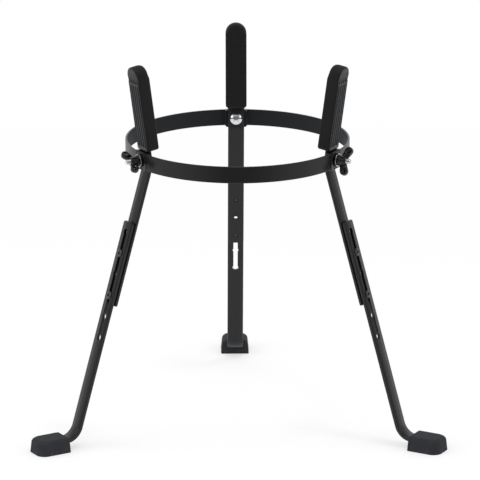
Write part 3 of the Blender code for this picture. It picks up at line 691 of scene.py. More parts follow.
def pillow(name, outline, edge, rows, top, bottom, edge_steps=6):
    """A thick plate over an outline: rows of points run in from the outline to its middle line, round
    the edge by inset = e (1 - cos a) and drop = e (1 - sin a), and then over each face."""
    points, normals, middle = outline
    turn = quarter(edge_steps + 1)[:, None]
    rim = points - normals * edge * (1 - np.cos(turn))[..., None]
    flats = np.concatenate([rim, rim[-1] + (middle - rim[-1]) * rows[:, None, None]])
    drops = np.concatenate([edge * (1 - np.sin(turn)), 0 * rows[:, None]])
    high = top(flats[..., 0], flats[..., 1]) - drops
    low = bottom(flats[..., 0], flats[..., 1]) + drops
    upper = np.concatenate([flats, high[..., None]], axis=2)[::-1]
    lower = np.concatenate([flats, low[..., None]], axis=2)
    return surface(name, [(np.concatenate([upper, lower]), True)])


def smoothstep(low, high, value):
    """0 below low and 1 above high, with a smooth rise t t (3 - 2 t) between them."""
    t = np.clip((value - low) / (high - low), 0.0, 1.0)
    return t * t * (3 - 2 * t)


def swapped(mesh, order):
    """The mesh with its axes in another order, as (x, y, z) letters."""
    axes = {"x": (1, 0, 0), "y": (0, 1, 0), "z": (0, 0, 1)}
    matrix = Matrix([axes[letter] for letter in order]).to_4x4()
    mesh.transform(matrix)
    if matrix.determinant() < 0:
        mesh.flip_normals()
    return mesh


def arithmetic(operation, backwards=False):
    """A method that adds a Math node, with its own wire second where it runs backwards."""
    def method(self, other):
        first, second = (other, self) if backwards else (self, other)
        return self.finish.maths(operation, first, second)
    return method


class Wire:
    """A socket in a material's nodes. Arithmetic on it adds Math nodes."""
    __add__ = __radd__ = arithmetic("ADD")
    __mul__ = __rmul__ = arithmetic("MULTIPLY")
    __sub__ = arithmetic("SUBTRACT")
    __rsub__ = arithmetic("SUBTRACT", backwards=True)
    __pow__ = arithmetic("POWER")

    def __init__(self, finish, socket):
        self.finish, self.socket = finish, socket

    def clipped(self):
        """The value held between 0 and 1."""
        return self.finish.maths("MINIMUM", self.finish.maths("MAXIMUM", self, 0.0), 1.0)


class Finish:
    """The nodes of one material."""

    def __init__(self, name, owner=None):
        self.material = owner or bpy.data.materials.new(name)
        self.material.use_nodes = True
        self.tree = self.material.node_tree
        self.tree.nodes.clear()

    def maths(self, operation, first, second=0.0):
        """A Math node."""
        return self.make("ShaderNodeMath", {0: first, 1: second}, operation=operation)

    def make(self, kind, sockets=None, output=0, **settings):
        """Add a node of a kind with its settings, join its sockets and give an output."""
        node = self.tree.nodes.new(kind)
        for key, value in settings.items():
            setattr(node, key, value)
        for key, value in (sockets or {}).items():
            if isinstance(value, Wire):
                self.tree.links.new(value.socket, node.inputs[key])
            else:
                node.inputs[key].default_value = value
        return Wire(self, node.outputs[output]) if node.outputs else None

    def place(self, scale=(1.0, 1.0, 1.0), local=False):
        """Object coordinates, or the place in the piece, scaled along each axis."""
        if local:
            source = self.make("ShaderNodeAttribute", output="Vector", attribute_name="local")
        else:
            source = self.make("ShaderNodeTexCoord", output="Object")
        return self.make("ShaderNodeMapping", {"Vector": source, "Scale": scale})

    def noise(self, scale, detail=2.0, roughness=0.5, stretch=(1.0, 1.0, 1.0), local=False):
        """Noise from 0 to 1, with its grains per metre."""
        return self.make("ShaderNodeTexNoise", {"Vector": self.place(stretch, local), "Scale": scale,
                                                "Detail": detail, "Roughness": roughness})

    def axis(self, index, local=True):
        """One coordinate, 0 for X to 2 for Z, of the place in the piece or of the object coordinates."""
        return self.make("ShaderNodeSeparateXYZ", {0: self.place(local=local)}, output=index)

    def distance(self, point=(0.0, 0.0, 0.0)):
        """How far the object coordinates are from a point."""
        return self.make("ShaderNodeVectorMath", {0: self.place(), 1: point}, output="Value",
                         operation="DISTANCE")

    def rise(self, value, start, end, low=0.0, high=1.0):
        """A smooth change from low to high while a value goes from start to end."""
        sockets = {"Value": value, "From Min": start, "From Max": end, "To Min": low, "To Max": high}
        return self.make("ShaderNodeMapRange", sockets, interpolation_type="SMOOTHSTEP")

    def ray(self, kind):
        """1 for one kind of ray and 0 for the others."""
        return self.make("ShaderNodeLightPath", output=f"Is {kind} Ray")

    def glow(self, strength, kind="ShaderNodeEmission"):
        """White light of a strength."""
        return self.make(kind, {"Color": (1.0, 1.0, 1.0, 1.0), "Strength": strength})

    def mix(self, factor, first, second):
        """A mix of two shaders."""
        return self.make("ShaderNodeMixShader", {0: factor, 1: first, 2: second})

    def edge_and_inside_mark(self):
        """How far a point is on an edge, which the powder coat paints paler as painted highlight and worn
        powder; below 0, the ring's inside, which it paints as shade.
        """
        return self.make("ShaderNodeAttribute", output="Fac", attribute_name="edge")

    def blend(self, factor, first, second):
        """A mix of two colours."""
        sockets = {0: factor, 6: opaque(first), 7: opaque(second)}
        return self.make("ShaderNodeMix", sockets, output=2, data_type="RGBA")

    def toned(self, factor, tint, dark, light):
        """A mix of a dark and a light shade of one colour."""
        return self.blend(factor, shade(tint, dark), shade(tint, light))

    def bump(self, height, depth, normal=None):
        """A bump of a height from 0 to 1 and a depth in metres, on the surface or on another bump."""
        sockets = {"Height": height, "Distance": depth, "Strength": 1.0}
        if normal:
            sockets["Normal"] = normal
        return self.make("ShaderNodeBump", sockets)

    def shader(self, **sockets):
        """A Principled shader."""
        named = {key.replace("_", " "): value for key, value in sockets.items()}
        return self.make("ShaderNodeBsdfPrincipled", named)

    def finished(self, shader):
        """The material, once its surface is a shader."""
        self.make("ShaderNodeOutputMaterial", {"Surface": shader})
        return self.material

    def principled(self, **sockets):
        """The material, with a Principled shader."""
        return self.finished(self.shader(**sockets))


def opaque(value):
    """A colour with full alpha, or a wire as it is."""
    return value if isinstance(value, Wire) else (*value, 1.0)


def shade(tint, factor):
    """A colour made darker or lighter."""
    return tuple(factor * part for part in tint)


def powder_coat(finish, sizes):
    """Satin powder coat: orange peel, fine speckle and cloudy tone. The edges are glossier and painted
    paler, partly as painted highlight and partly as worn powder. A flat bar shades as if it fell away from
    its middle line by 3 mm times the cube of the place across. The ring's inside, where the edge mark is
    below 0, is painted shade: a matt coat with little gloss and a flat colour, so that it renders dark."""
    cloud = finish.noise(22.0, detail=3.0)
    speckle = finish.noise(2600.0, detail=1.0)
    peel = finish.noise(620.0, detail=2.0, roughness=0.45)
    tone = (cloud * 0.55 + speckle * 0.65 - 0.35).clipped()
    body = finish.toned(tone, sizes.colours.powder, 0.78, 1.3)
    # Painted highlight: the edges are painted in the paler powder colour, partly standing for worn powder.
    worn = (finish.edge_and_inside_mark() * (0.45 + finish.noise(240.0, detail=3.0) * 0.9)).clipped()
    base = finish.blend(worn, body, sizes.colours.powder_edge)
    rough = sizes.colours.powder_gloss + (cloud - 0.5) * 0.12 + (speckle - 0.5) * 0.10 - worn * 0.07
    across = finish.axis(1) * (2 / sizes.bar.width)
    normal = finish.bump(peel * 0.8 + speckle * 0.2, 0.045 * MM)
    fall = finish.maths("ABSOLUTE", across) ** 3.0
    normal = finish.bump(1.0 - fall, 3.0 * MM, normal=normal)
    gloss = finish.shader(Base_Color=base, Roughness=rough, Normal=normal, Specular_IOR_Level=0.34)
    # Painted shade on the ring's inside: a flat, paler colour under a matt coat with little gloss, so that
    # the inside renders dark.
    dusty = finish.blend(0.9, base, shade(sizes.colours.powder_edge, 1.7))
    matt = finish.shader(Base_Color=dusty, Roughness=rough + 0.4, Normal=normal, Specular_IOR_Level=0.05)
    inside = (finish.edge_and_inside_mark() * -0.8).clipped()
    return finish.finished(finish.mix(inside, gloss, matt))


def ribbed_rubber(finish, sizes):
    """Moulded rubber of the pads: matt grain, faint streaks down the pad and a dusty bloom. The flutes
    are duller than the ridges between them, by how far they lie under the outer face, and up to the
    ledge the ridges are painted lighter, a painted highlight where they catch the light."""
    face = sizes.bar.thickness / 2 + GAP + sizes.pad.outer_wall
    ledge_top = sizes.pad.length - sizes.pad.ledge + 3.0 * MM
    grain = finish.noise(1500.0, detail=2.0)
    streak = finish.noise(420.0, detail=3.0, stretch=(1.0, 1.0, 0.06), local=True)
    bloom = finish.noise(38.0, detail=4.0, roughness=0.6)
    tone = (streak * 0.8 + bloom * 0.6 + grain * 0.3 - 0.45).clipped()
    base = finish.toned(tone, sizes.colours.pad, 0.7, 1.9)
    out, along = finish.axis(0), finish.axis(2)
    sunk = ((face - 0.8 * MM - out) * (1 / (0.9 * MM))).clipped()
    ridge_highlight = ((out - face + 1.1 * MM) * (1 / MM)).clipped() ** 2.0
    below_ledge = ((ledge_top - along) * (1 / MM)).clipped()
    # Painted highlight: below the ledge the ridges are painted 13 times lighter than the rubber.
    base = finish.blend(ridge_highlight * below_ledge, base, shade(sizes.colours.pad, 13.0))
    rough = 0.34 + sunk * 0.32 + (bloom - 0.5) * 0.2 + (grain - 0.5) * 0.12
    normal = finish.bump(grain * 0.6 + streak * 0.4, 0.05 * MM)
    return finish.principled(Base_Color=base, Roughness=rough, Normal=normal, Specular_IOR_Level=0.31)


def pebbled_rubber(finish, sizes):
    """Moulded rubber of the feet: pebbled grain, scuffs near the sole and a dusty bloom."""
    grain = finish.noise(900.0, detail=3.0, roughness=0.6)
    bloom = finish.noise(45.0, detail=4.0, roughness=0.6)
    scuff = finish.noise(260.0, detail=4.0, roughness=0.65, stretch=(1.0, 1.0, 0.3))
    near_sole = (1.0 - finish.axis(2, local=False) * (1 / (9.0 * MM))).clipped()
    tone = (bloom * 0.9 + grain * 0.35 - 0.2).clipped()
    body = finish.toned(tone, sizes.colours.foot, 0.75, 1.45)
    worn = ((scuff - 0.52) * 4.0).clipped() * near_sole * 0.7
    base = finish.blend(worn, body, shade(sizes.colours.foot, 3.2))
    rough = 0.70 + (bloom - 0.5) * 0.2 + worn * 0.15
    normal = finish.bump(grain, 0.07 * MM)
    return finish.principled(Base_Color=base, Roughness=rough, Normal=normal, Specular_IOR_Level=0.12)


def moulded_nylon(finish, sizes):
    """Glossy moulded nylon: faint flow lines and sink marks."""
    flow = finish.noise(130.0, detail=3.0, stretch=(1.0, 1.0, 0.35))
    grain = finish.noise(1800.0, detail=1.0)
    base = finish.toned(flow, sizes.colours.nylon, 0.8, 1.5)
    rough = 0.14 + (flow - 0.5) * 0.10 + (grain - 0.5) * 0.05
    normal = finish.bump(flow * 0.7 + grain * 0.3, 0.03 * MM)
    return finish.principled(Base_Color=base, Roughness=rough, Normal=normal, Specular_IOR_Level=0.42)


def bright_chrome(finish, sizes):
    """Bright plating: hairline scratches and a trace of haze."""
    haze = finish.noise(160.0, detail=4.0)
    hairs = finish.noise(900.0, detail=2.0, stretch=(1.0, 0.08, 1.0), local=True)
    base = finish.toned(haze, sizes.colours.chrome, 0.86, 1.0)
    rough = (0.05 + (haze - 0.4) * 0.08 + (hairs - 0.5) * 0.06).clipped()
    normal = finish.bump(hairs, 0.004 * MM)
    return finish.principled(Base_Color=base, Roughness=rough, Normal=normal, Metallic=1.0)


def zinc_plate(finish, sizes):
    """Zinc-plated steel: turning marks round the axis and a cloudy tone."""
    x, y = finish.axis(0), finish.axis(1)
    radius = (x * x + y * y) ** 0.5
    marks = finish.make("ShaderNodeTexNoise", {"W": radius, "Scale": 4200.0, "Detail": 2.0},
                        noise_dimensions="1D")
    cloud = finish.noise(190.0, detail=4.0)
    base = finish.toned((cloud * 0.7 + marks * 0.5 - 0.1).clipped(), sizes.colours.zinc, 0.72, 1.0)
    rough = 0.24 + (cloud - 0.5) * 0.18 + (marks - 0.5) * 0.14
    normal = finish.bump(marks, 0.012 * MM)
    return finish.principled(Base_Color=base, Roughness=rough, Normal=normal, Metallic=1.0)


def blackened_steel(finish, sizes):
    """Blackened screw steel: patchy oxide over a fine turned grain."""
    patch = finish.noise(420.0, detail=4.0, roughness=0.6)
    grain = finish.noise(2400.0, detail=1.0)
    base = finish.toned((patch * 1.2 - 0.1).clipped(), sizes.colours.oxide, 0.6, 1.6)
    rough = 0.34 + (patch - 0.5) * 0.2 + (grain - 0.5) * 0.08
    normal = finish.bump(grain, 0.012 * MM)
    return finish.principled(Base_Color=base, Roughness=rough, Normal=normal, Metallic=1.0)


FINISHES = {
    "black_powder_coat": powder_coat,
    "pad_rubber": ribbed_rubber,
    "foot_rubber": pebbled_rubber,
    "chrome": bright_chrome,
    "zinc_steel": zinc_plate,
    "black_nylon": moulded_nylon,
    "black_oxide": blackened_steel,
}


def material_of(slot):
    """The finish of a material slot, made when it is first asked for."""
    maker = FINISHES[slot]
    name = maker.__name__
    return bpy.data.materials.get(name) or maker(Finish(name), bpy.context.scene.conga_stand)


def add_piece(name, mesh, matrix, body, slot, replaced):
    """Put a mesh in its place and let it stand for a CAD node on that node's body."""
    mesh = mesh.copy()
    mesh.name = name
    mesh.transform(matrix)
    mesh.materials.clear()
    mesh.materials.append(material_of(slot))
    made = placed(name, mesh)
    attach(made, body)
    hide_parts(replaced)


def refinish(node, slot):
    """Give a CAD node that is kept the finish of its slot."""
    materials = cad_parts[node].data.materials
    materials.clear()
    materials.append(material_of(slot))


class Step:
    """What every operator does with the sizes and with the layout that follows from them."""

    def execute(self, context):
        sizes = context.scene.conga_stand
        self.make(sizes, Layout(sizes))
        return {"FINISHED"}


class CONGA_OT_ring(Step, Operator):
    """Make the rolled ring with its three bolt holes"""
    bl_idname = "conga.ring"
    bl_label = "Ring"

    def make(self, sizes, plan):
        ring, clamp = sizes.ring, sizes.clamp
        middle = ring.radius - ring.thickness / 2
        around = math.tau * middle

        def place(along, out):
            turn = along / middle + FIRST_AZIMUTH
            return (middle + out) * np.cos(turn), (middle + out) * np.sin(turn)

        def stations(low, high):
            return np.linspace(low, high, max(2, math.ceil((high - low) / ring.step) + 1))

        holes = [round_hole(middle * (math.radians(azimuth) - FIRST_AZIMUTH), clamp.bore)
                 for azimuth in AZIMUTHS.values()]
        # inside=-1.0 marks the ring's inner face for the powder coat's painted shade.
        mesh = bar_surface("ring_band", place, around, ring.height, ring.thickness, ring.edge,
                           sizes.bar.rim, stations, holes, inside=-1.0)
        add_piece("ring_band", mesh, move(y=RING_Y, z=ring.middle), "stand", "black_powder_coat", "ring")


class CONGA_OT_bars(Step, Operator):
    """Make each leg's upper bar, and its lower bar with the row of holes"""
    bl_idname = "conga.bars"
    bl_label = "Bars"

    def make(self, sizes, plan):
        upper, lower = self.upper_bar(sizes, plan), self.lower_bar(sizes, plan)
        for side in AZIMUTHS:
            add_piece(side + "_upper_arm", upper, plan.leg(side), "stand", "black_powder_coat",
                      side + "_upper_bar")
            add_piece(side + "_rail_bar", lower, plan.leg(side), side + "_lower_leg", "black_powder_coat",
                      side + "_lower_bar")

    def upper_bar(self, sizes, plan):
        """The bent arm from inside the pad, past the ring, down to the lock screws."""
        bar, rail = sizes.bar, sizes.rail
        above = bar.above_bend
        below = plan.low_screw + bar.low_margin
        top = (plan.reach + above * math.sin(bar.pad_lean), plan.pad_bend + above * math.cos(bar.pad_lean))
        corners = [top, (plan.reach, plan.pad_bend), (plan.reach, plan.lean_top),
                   plan.rail_point(below, 0.0)]
        path = Path(corners, [bar.bend, bar.bend])
        total = path.marks[-1]
        screws = [total - bar.low_margin - step * rail.pitch for step in (2, 1, 0)]
        bolt = path.marks[2] + (plan.pad_bend - sizes.ring.middle) - bar.bend * math.tan(bar.pad_lean / 2)
        holes = [square_hole(bolt, sizes.clamp.neck + 2 * GAP)]
        holes += [round_hole(screw, rail.screw + 2 * GAP) for screw in screws]
        return bar_surface("upper_arm", path.at, total, bar.width, bar.thickness, bar.edge, bar.rim,
                           lambda low, high: path.stations(low, high, bar.facet, bar.bend_facet), holes,
                           (bar.top_corner, bar.low_corner))

    def lower_bar(self, sizes, plan):
        """The rail with its keyholes, which turns outward at the toe."""
        bar, rail = sizes.bar, sizes.rail
        start = plan.first_hole - rail.top_margin
        corners = [plan.rail_point(start, plan.rail_offset),
                   plan.rail_point(plan.toe_corner, plan.rail_offset), (plan.toe_end, rail.toe_height)]
        path = Path(corners, [rail.toe_bend])
        holes = [keyholes(rail.top_margin, rail.pitch, 6, rail.hole / 2, rail.slot)]
        return bar_surface("rail_bar", path.at, path.marks[-1], bar.width, rail.thickness, bar.edge,
                           bar.rim / 2,
                           lambda low, high: path.stations(low, high, bar.facet, rail.toe_facet), holes,
                           (rail.corner, rail.corner))


class CONGA_OT_pads(Step, Operator):
    """Make the rubber pads with their grooved outer panels"""
    bl_idname = "conga.pads"
    bl_label = "Pads"

    def make(self, sizes, plan):
        pad, bar = sizes.pad, sizes.bar
        high, half = pad.length, pad.width / 2
        outer = plan.face + pad.outer_wall
        ledge = high - pad.ledge + np.linspace(-0.5, 0.5, 11) * pad.ledge_height
        first, last, scoop_end = pad.groove_low, high - pad.groove_top, high - pad.scoop_top
        ends = np.array([[first], [last]]) + np.linspace(-0.4, 1.6, 9) * MM
        levels = np.unique(np.concatenate([np.arange(0.0, high, 2.0 * MM), ledge, *ends]).round(5))
        outline = rounded_outline(pad.width, 0.0, high, pad.low_corner, half, levels, 40, 41)
        rows = shares(math.ceil((half - pad.edge) / pad.row))

        def top(across, along):
            """The outer face, less the grooves' depth times (1 + cos (tau x / pitch)) / 2, and less the
            scoop or the sides' rounding R (1 - sqrt(1 - t t)), whichever is deeper."""
            wave = 0.5 + 0.5 * np.cos(math.tau * across / pad.groove_pitch)
            wave = wave * (np.abs(across) < pad.grooves / 2 * pad.groove_pitch)
            side = np.clip((np.abs(across) - half + pad.outer_round) / pad.outer_round, 0.0, 1.0)
            side = pad.outer_round * (1 - np.sqrt(1 - side ** 2))
            begun = smoothstep(first - 0.3 * MM, first + 1.2 * MM, along)
            ended = 1 - smoothstep(last - 1.2 * MM, last + 0.2 * MM, along)
            through = 1 - smoothstep(scoop_end, scoop_end + 5.0 * MM, along)
            depth = pad.groove_depth * np.maximum(ended, pad.groove_rest * through)
            slope = np.clip((scoop_end - along) / (pad.ledge - pad.scoop_top), 0.0, 1.0)
            rise = np.clip((along - ledge[0]) / pad.ledge_height, 0.0, 1.0)
            return outer - depth * wave * begun - np.maximum(pad.scoop * slope * rise, side)

        def bottom(across, along):
            """The inner face, rounded by R (1 - sqrt(1 - t t)) round the pad's top."""
            edge = half - np.hypot(across, np.maximum(along - high + half, 0.0))
            near = np.clip(1 - edge / pad.inner_round, 0.0, 1.0)
            turned_in = smoothstep(high - half - 4.0 * MM, high - half + 6.0 * MM, along)
            return outer - pad.depth + pad.inner_round * (1 - np.sqrt(1 - near ** 2)) * turned_in

        skin = swapped(pillow("rubber_pad", outline, pad.edge, rows, top, bottom), "zxy")
        for side in AZIMUTHS:
            seat = getattr(pad, side) - bar.above_bolt
            sleeve = block("sleeve", (-plan.face, -plan.flank, -pad.edge),
                           (plan.face, plan.flank, bar.above_bend + GAP - seat))
            add_piece(side + "_rubber_pad", cut(skin, [sleeve]), plan.pad(side) @ move(z=seat), "stand",
                      "pad_rubber", side + "_pad")


class CONGA_OT_clamps(Step, Operator):
    """Make the saddles, carriage bolts and washers at the ring"""
    bl_idname = "conga.clamps"
    bl_label = "Clamps"

    def make(self, sizes, plan):
        clamp = sizes.clamp
        saddle, bolt = self.saddle(sizes, plan), self.bolt(sizes, plan)
        washer = self.washer("flat_washer", clamp, plan.washer_seat, clamp.washer_thickness, 0.5 * MM)
        disc = self.washer("nylon_disc", clamp, sizes.ring.radius + GAP, clamp.nylon_washer, 0.3 * MM)
        for side in AZIMUTHS:
            level = plan.leg(side) @ move(z=sizes.ring.middle)
            for name, mesh, place, slot, node in (
                    ("_clamp_saddle", saddle, level, "black_nylon", "_saddle"),
                    ("_round_bolt", bolt, plan.bolt(side), "chrome", "_carriage_bolt"),
                    ("_flat_washer", washer, plan.bolt(side), "zinc_steel", "_washer"),
                    ("_nylon_disc", disc, plan.bolt(side), "black_nylon", "_nylon_washer")):
                add_piece(side + name, mesh, place, "stand", slot, side + node)

    def saddle(self, sizes, plan):
        """A rounded block, cut by the ring's space, the bar's channel and the bolt's bore."""
        ring, bar, clamp = sizes.ring, sizes.bar, sizes.clamp
        inner = plan.reach + plan.face - clamp.saddle_channel
        half = ring.height / 2 + GAP + clamp.saddle_lip
        outline = rounded_outline(clamp.saddle_width, -half, half, clamp.saddle_corner, clamp.saddle_corner,
                                  np.linspace(-half, half, 15))
        mesh = pillow("clamp_saddle", outline, clamp.saddle_edge, shares(7),
                      lambda across, along: np.full(across.shape, ring.radius),
                      lambda across, along: np.full(across.shape, inner), edge_steps=4)
        mesh = swapped(mesh, "zxy")
        low, high, level = plan.ring_inner - GAP, ring.radius + GAP, ring.height / 2 + GAP
        space = turned("ring_space", [(low, level), (high, level), (high, -level), (low, -level)], 360,
                       closed=True)
        channel = block("channel", (plan.reach - bar.thickness, -plan.flank, -2 * half),
                        (plan.reach + plan.face, plan.flank, 2 * half))
        rod = bore_rod(clamp.bore / 2, 0.0, 2 * ring.radius)
        return cut(mesh, [space, channel, swapped(rod, "zxy")])

    def bolt(self, sizes, plan):
        """A turned bolt: r loses the thread's depth by how near (height / pitch - angle / turn) is to a
        whole number, and is that of a square along the neck."""
        clamp, bar = sizes.clamp, sizes.bar
        shank, head = clamp.bolt / 2, clamp.head / 2
        under = plan.reach - plan.face
        end = plan.nut_seat + sizes.nut.height + clamp.beyond_nut
        neck_end = under + bar.thickness
        dome = (head ** 2 + clamp.head_height ** 2) / (2 * clamp.head_height)
        centre = under - clamp.head_height + dome
        thread = np.arange(end - 1.0 * MM, neck_end + 3.0 * MM, -clamp.pitch / 10)
        turn = np.linspace(math.asin((head - 0.4 * MM) / dome), 0.0, 26)
        rim = Path([(head - 1.2 * MM, under), (head, under), (head - 0.25 * MM, under - 0.7 * MM)],
                   [0.3 * MM]).points(0.1 * MM)
        profile = np.concatenate([
            [(0.0, end), (shank - 0.9 * MM, end), (shank - 0.75 * MM, end - 0.08 * MM)],
            columns(shank, thread),
            [(shank, neck_end + 0.4 * MM), (shank, neck_end), (shank, under + 0.05 * MM),
             (shank + 1 * MM, under)],
            rim,
            columns(dome * np.sin(turn), centre - dome * np.cos(turn))])

        def radius(radii, heights, around):
            phase = np.mod(heights / clamp.pitch - around / math.tau, 1.0)
            tooth = np.clip(1.25 * np.abs(2 * phase - 1), 0.0, 1.0)
            threaded = smoothstep(neck_end + 2.5 * MM, neck_end + 4 * MM, heights)
            threaded = threaded * (radii > shank - 0.1 * MM) * (heights > neck_end)
            chamfer = np.clip((heights - end + 1.4 * MM) / (1.4 * MM), 0.0, 1.0) * 0.75 * MM
            round_part = radii - clamp.thread * (1 - tooth) * threaded
            tip = (heights > end - 1.4 * MM) & (radii > shank - 0.1 * MM)
            round_part = np.where(tip, np.minimum(round_part, shank - chamfer), round_part)
            square = clamp.neck / 2 / np.maximum(np.abs(np.cos(around)), np.abs(np.sin(around)))
            square = np.minimum(square, clamp.neck * 0.62)
            in_neck = (heights > under + 0.01 * MM) & (heights < neck_end + 0.01 * MM)
            return np.where(in_neck, square, round_part)
        return turned("round_bolt", profile, 64, radius)

    def washer(self, name, clamp, low, thickness, rolled):
        """A flat ring with a rolled outer rim and a sharp bore."""
        high = low + thickness
        outer, inner = clamp.washer / 2, clamp.bore / 2
        middle = (outer + inner) / 2
        corners = [(middle, high), (outer, high), (outer, low), (inner, low), (inner, high), (middle, high)]
        profile = Path(corners, [rolled, 0.7 * rolled, 0.1 * MM, 0.15 * MM]).points(0.06 * MM)
        return turned(name, profile[:-1], 96, closed=True)


class CONGA_OT_nuts(Step, Operator):
    """Make the moulded nuts with their round-ended wings"""
    bl_idname = "conga.nuts"
    bl_label = "Wing nuts"

    def make(self, sizes, plan):
        mesh = self.nut(sizes.nut, sizes.clamp.bore)
        for side in AZIMUTHS:
            add_piece(side + "_winged_nut", mesh, plan.nut(side), side + "_nut", "black_nylon",
                      side + "_wing_nut")
            refinish(side + "_nut_insert", "zinc_steel")

    def nut(self, nut, bore):
        """Hub, flange and two dished wings in one skin, with the bolt's bore cut through."""
        hub, flange = nut.hub / 2, nut.flange / 2
        corners = [(0.0, nut.height), (hub - 0.8 * MM, nut.height), (hub, nut.flange_height + 0.8 * MM),
                   (flange, nut.flange_height), (flange, 0.0), (0.0, 0.0)]
        profile = Path(corners, [1.6 * MM, 0.8 * MM, 0.7 * MM, 0.3 * MM]).points(0.15 * MM)
        forms = [turned("hub", profile, 72), self.wing(nut, 1.0), self.wing(nut, -1.0)]
        skin = fused("winged_nut", forms, nut.voxel, 6)
        return cut(skin, [bore_rod(bore / 2, -nut.height, 2 * nut.height)], sharp=60.0)

    def wing(self, nut, hand):
        """A plate round two circles, the root's and the lobe's, thicker and dished at the lobe."""
        root, lobe = np.array((0.0, nut.root_rise)), np.array((nut.reach, nut.rise))
        span = lobe - root
        slope = math.atan2(span[1], span[0])
        spread = math.acos((nut.root - nut.lobe) / math.dist(root, lobe))
        arc = 40
        around = np.concatenate([np.linspace(slope - spread, slope + spread, arc),
                                 np.linspace(slope + spread, slope - spread + math.tau, arc)])
        normals = columns(np.cos(around), np.sin(around))
        middle = np.repeat([lobe, root], arc, axis=0)
        points = middle + normals * np.repeat([nut.lobe, nut.root], arc)[:, None]
        outline = np.array([points, normals, middle])
        bridge = shares(13)[:-1, None]
        for at, to in ((2 * arc - 1, 0), (arc - 1, arc)):
            here, there = outline[:, at:at + 1], outline[:, to:to + 1]
            outline = np.insert(outline, [at + 1], here + (there - here) * bridge, axis=1)

        def height(x, z):
            away = np.hypot(x - lobe[0], z - lobe[1])
            swell = 1 - smoothstep(nut.lobe * 0.9, nut.lobe * 1.5, away)
            half = nut.web / 2 + (nut.lobe_thickness - nut.web) / 2 * swell
            return half - nut.dish_depth * (1 - smoothstep(nut.dish * 0.45, nut.dish * 1.1, away))

        mesh = pillow("wing", outline, 1.7 * MM, shares(13), height, lambda x, z: -height(x, z))
        mesh = swapped(mesh, "xzy")
        if hand < 0:
            mesh.transform(spin(math.pi, "Z"))
        return mesh


class CONGA_OT_screws(Step, Operator):
    """Make the lock screws that hold the lower bars"""
    bl_idname = "conga.screws"
    bl_label = "Lock screws"

    def make(self, sizes, plan):
        mesh = self.screw(sizes, plan)
        for side in AZIMUTHS:
            for level, along in (("_upper", sizes.rail.top_screw), ("_lower", plan.low_screw)):
                add_piece(side + level + "_lock_screw", mesh, plan.screw(side, along), "stand",
                          "black_oxide", side + level + "_screw")
                refinish(side + level + "_spacer", "black_nylon")

    def screw(self, sizes, plan):
        """A turned button head whose innermost loops are a hexagon, r = a cos 30 / cos (angle mod 60 - 30),
        with angles in degrees."""
        rail, bar = sizes.rail, sizes.bar
        head, shank = rail.head / 2, rail.screw / 2
        under = plan.rail_offset + plan.face
        top = under + rail.head_height
        rim_top = under + 0.9 * MM
        rise = top - rim_top
        dome = (head ** 2 + rise ** 2) / (2 * rise)
        turn = np.linspace(math.asin((rail.socket + 0.4 * MM) / dome), math.asin(head / dome), 18)
        floor = top - rail.socket_depth
        socket = [(0.0, floor), (rail.socket * 0.5, floor + 0.15 * MM),
                  (rail.socket * 0.96, floor + 0.35 * MM), (rail.socket, floor + 0.5 * MM),
                  (rail.socket, top - 0.35 * MM), (rail.socket + 0.12 * MM, top - 0.12 * MM)]
        crown = columns(dome * np.sin(turn), top - dome + dome * np.cos(turn))
        rim = Path([(head, rim_top), (head, under), (head - 1.5 * MM, under)], [0.3 * MM]).points(0.1 * MM)
        end = GAP - bar.thickness / 2
        profile = np.concatenate([socket, crown, rim[1:], [(shank, under), (shank, end + 0.5 * MM),
                                                          (shank - 0.5 * MM, end), (0.0, end)]])

        def radius(radii, heights, around):
            sector = np.mod(around, math.pi / 3) - math.pi / 6
            hexagon = math.cos(math.pi / 6) / np.cos(sector)
            inside = (np.arange(len(profile)) < len(socket))[:, None]
            return radii * np.where(inside, hexagon, 1.0)
        return turned("lock_screw", profile, 72, radius)


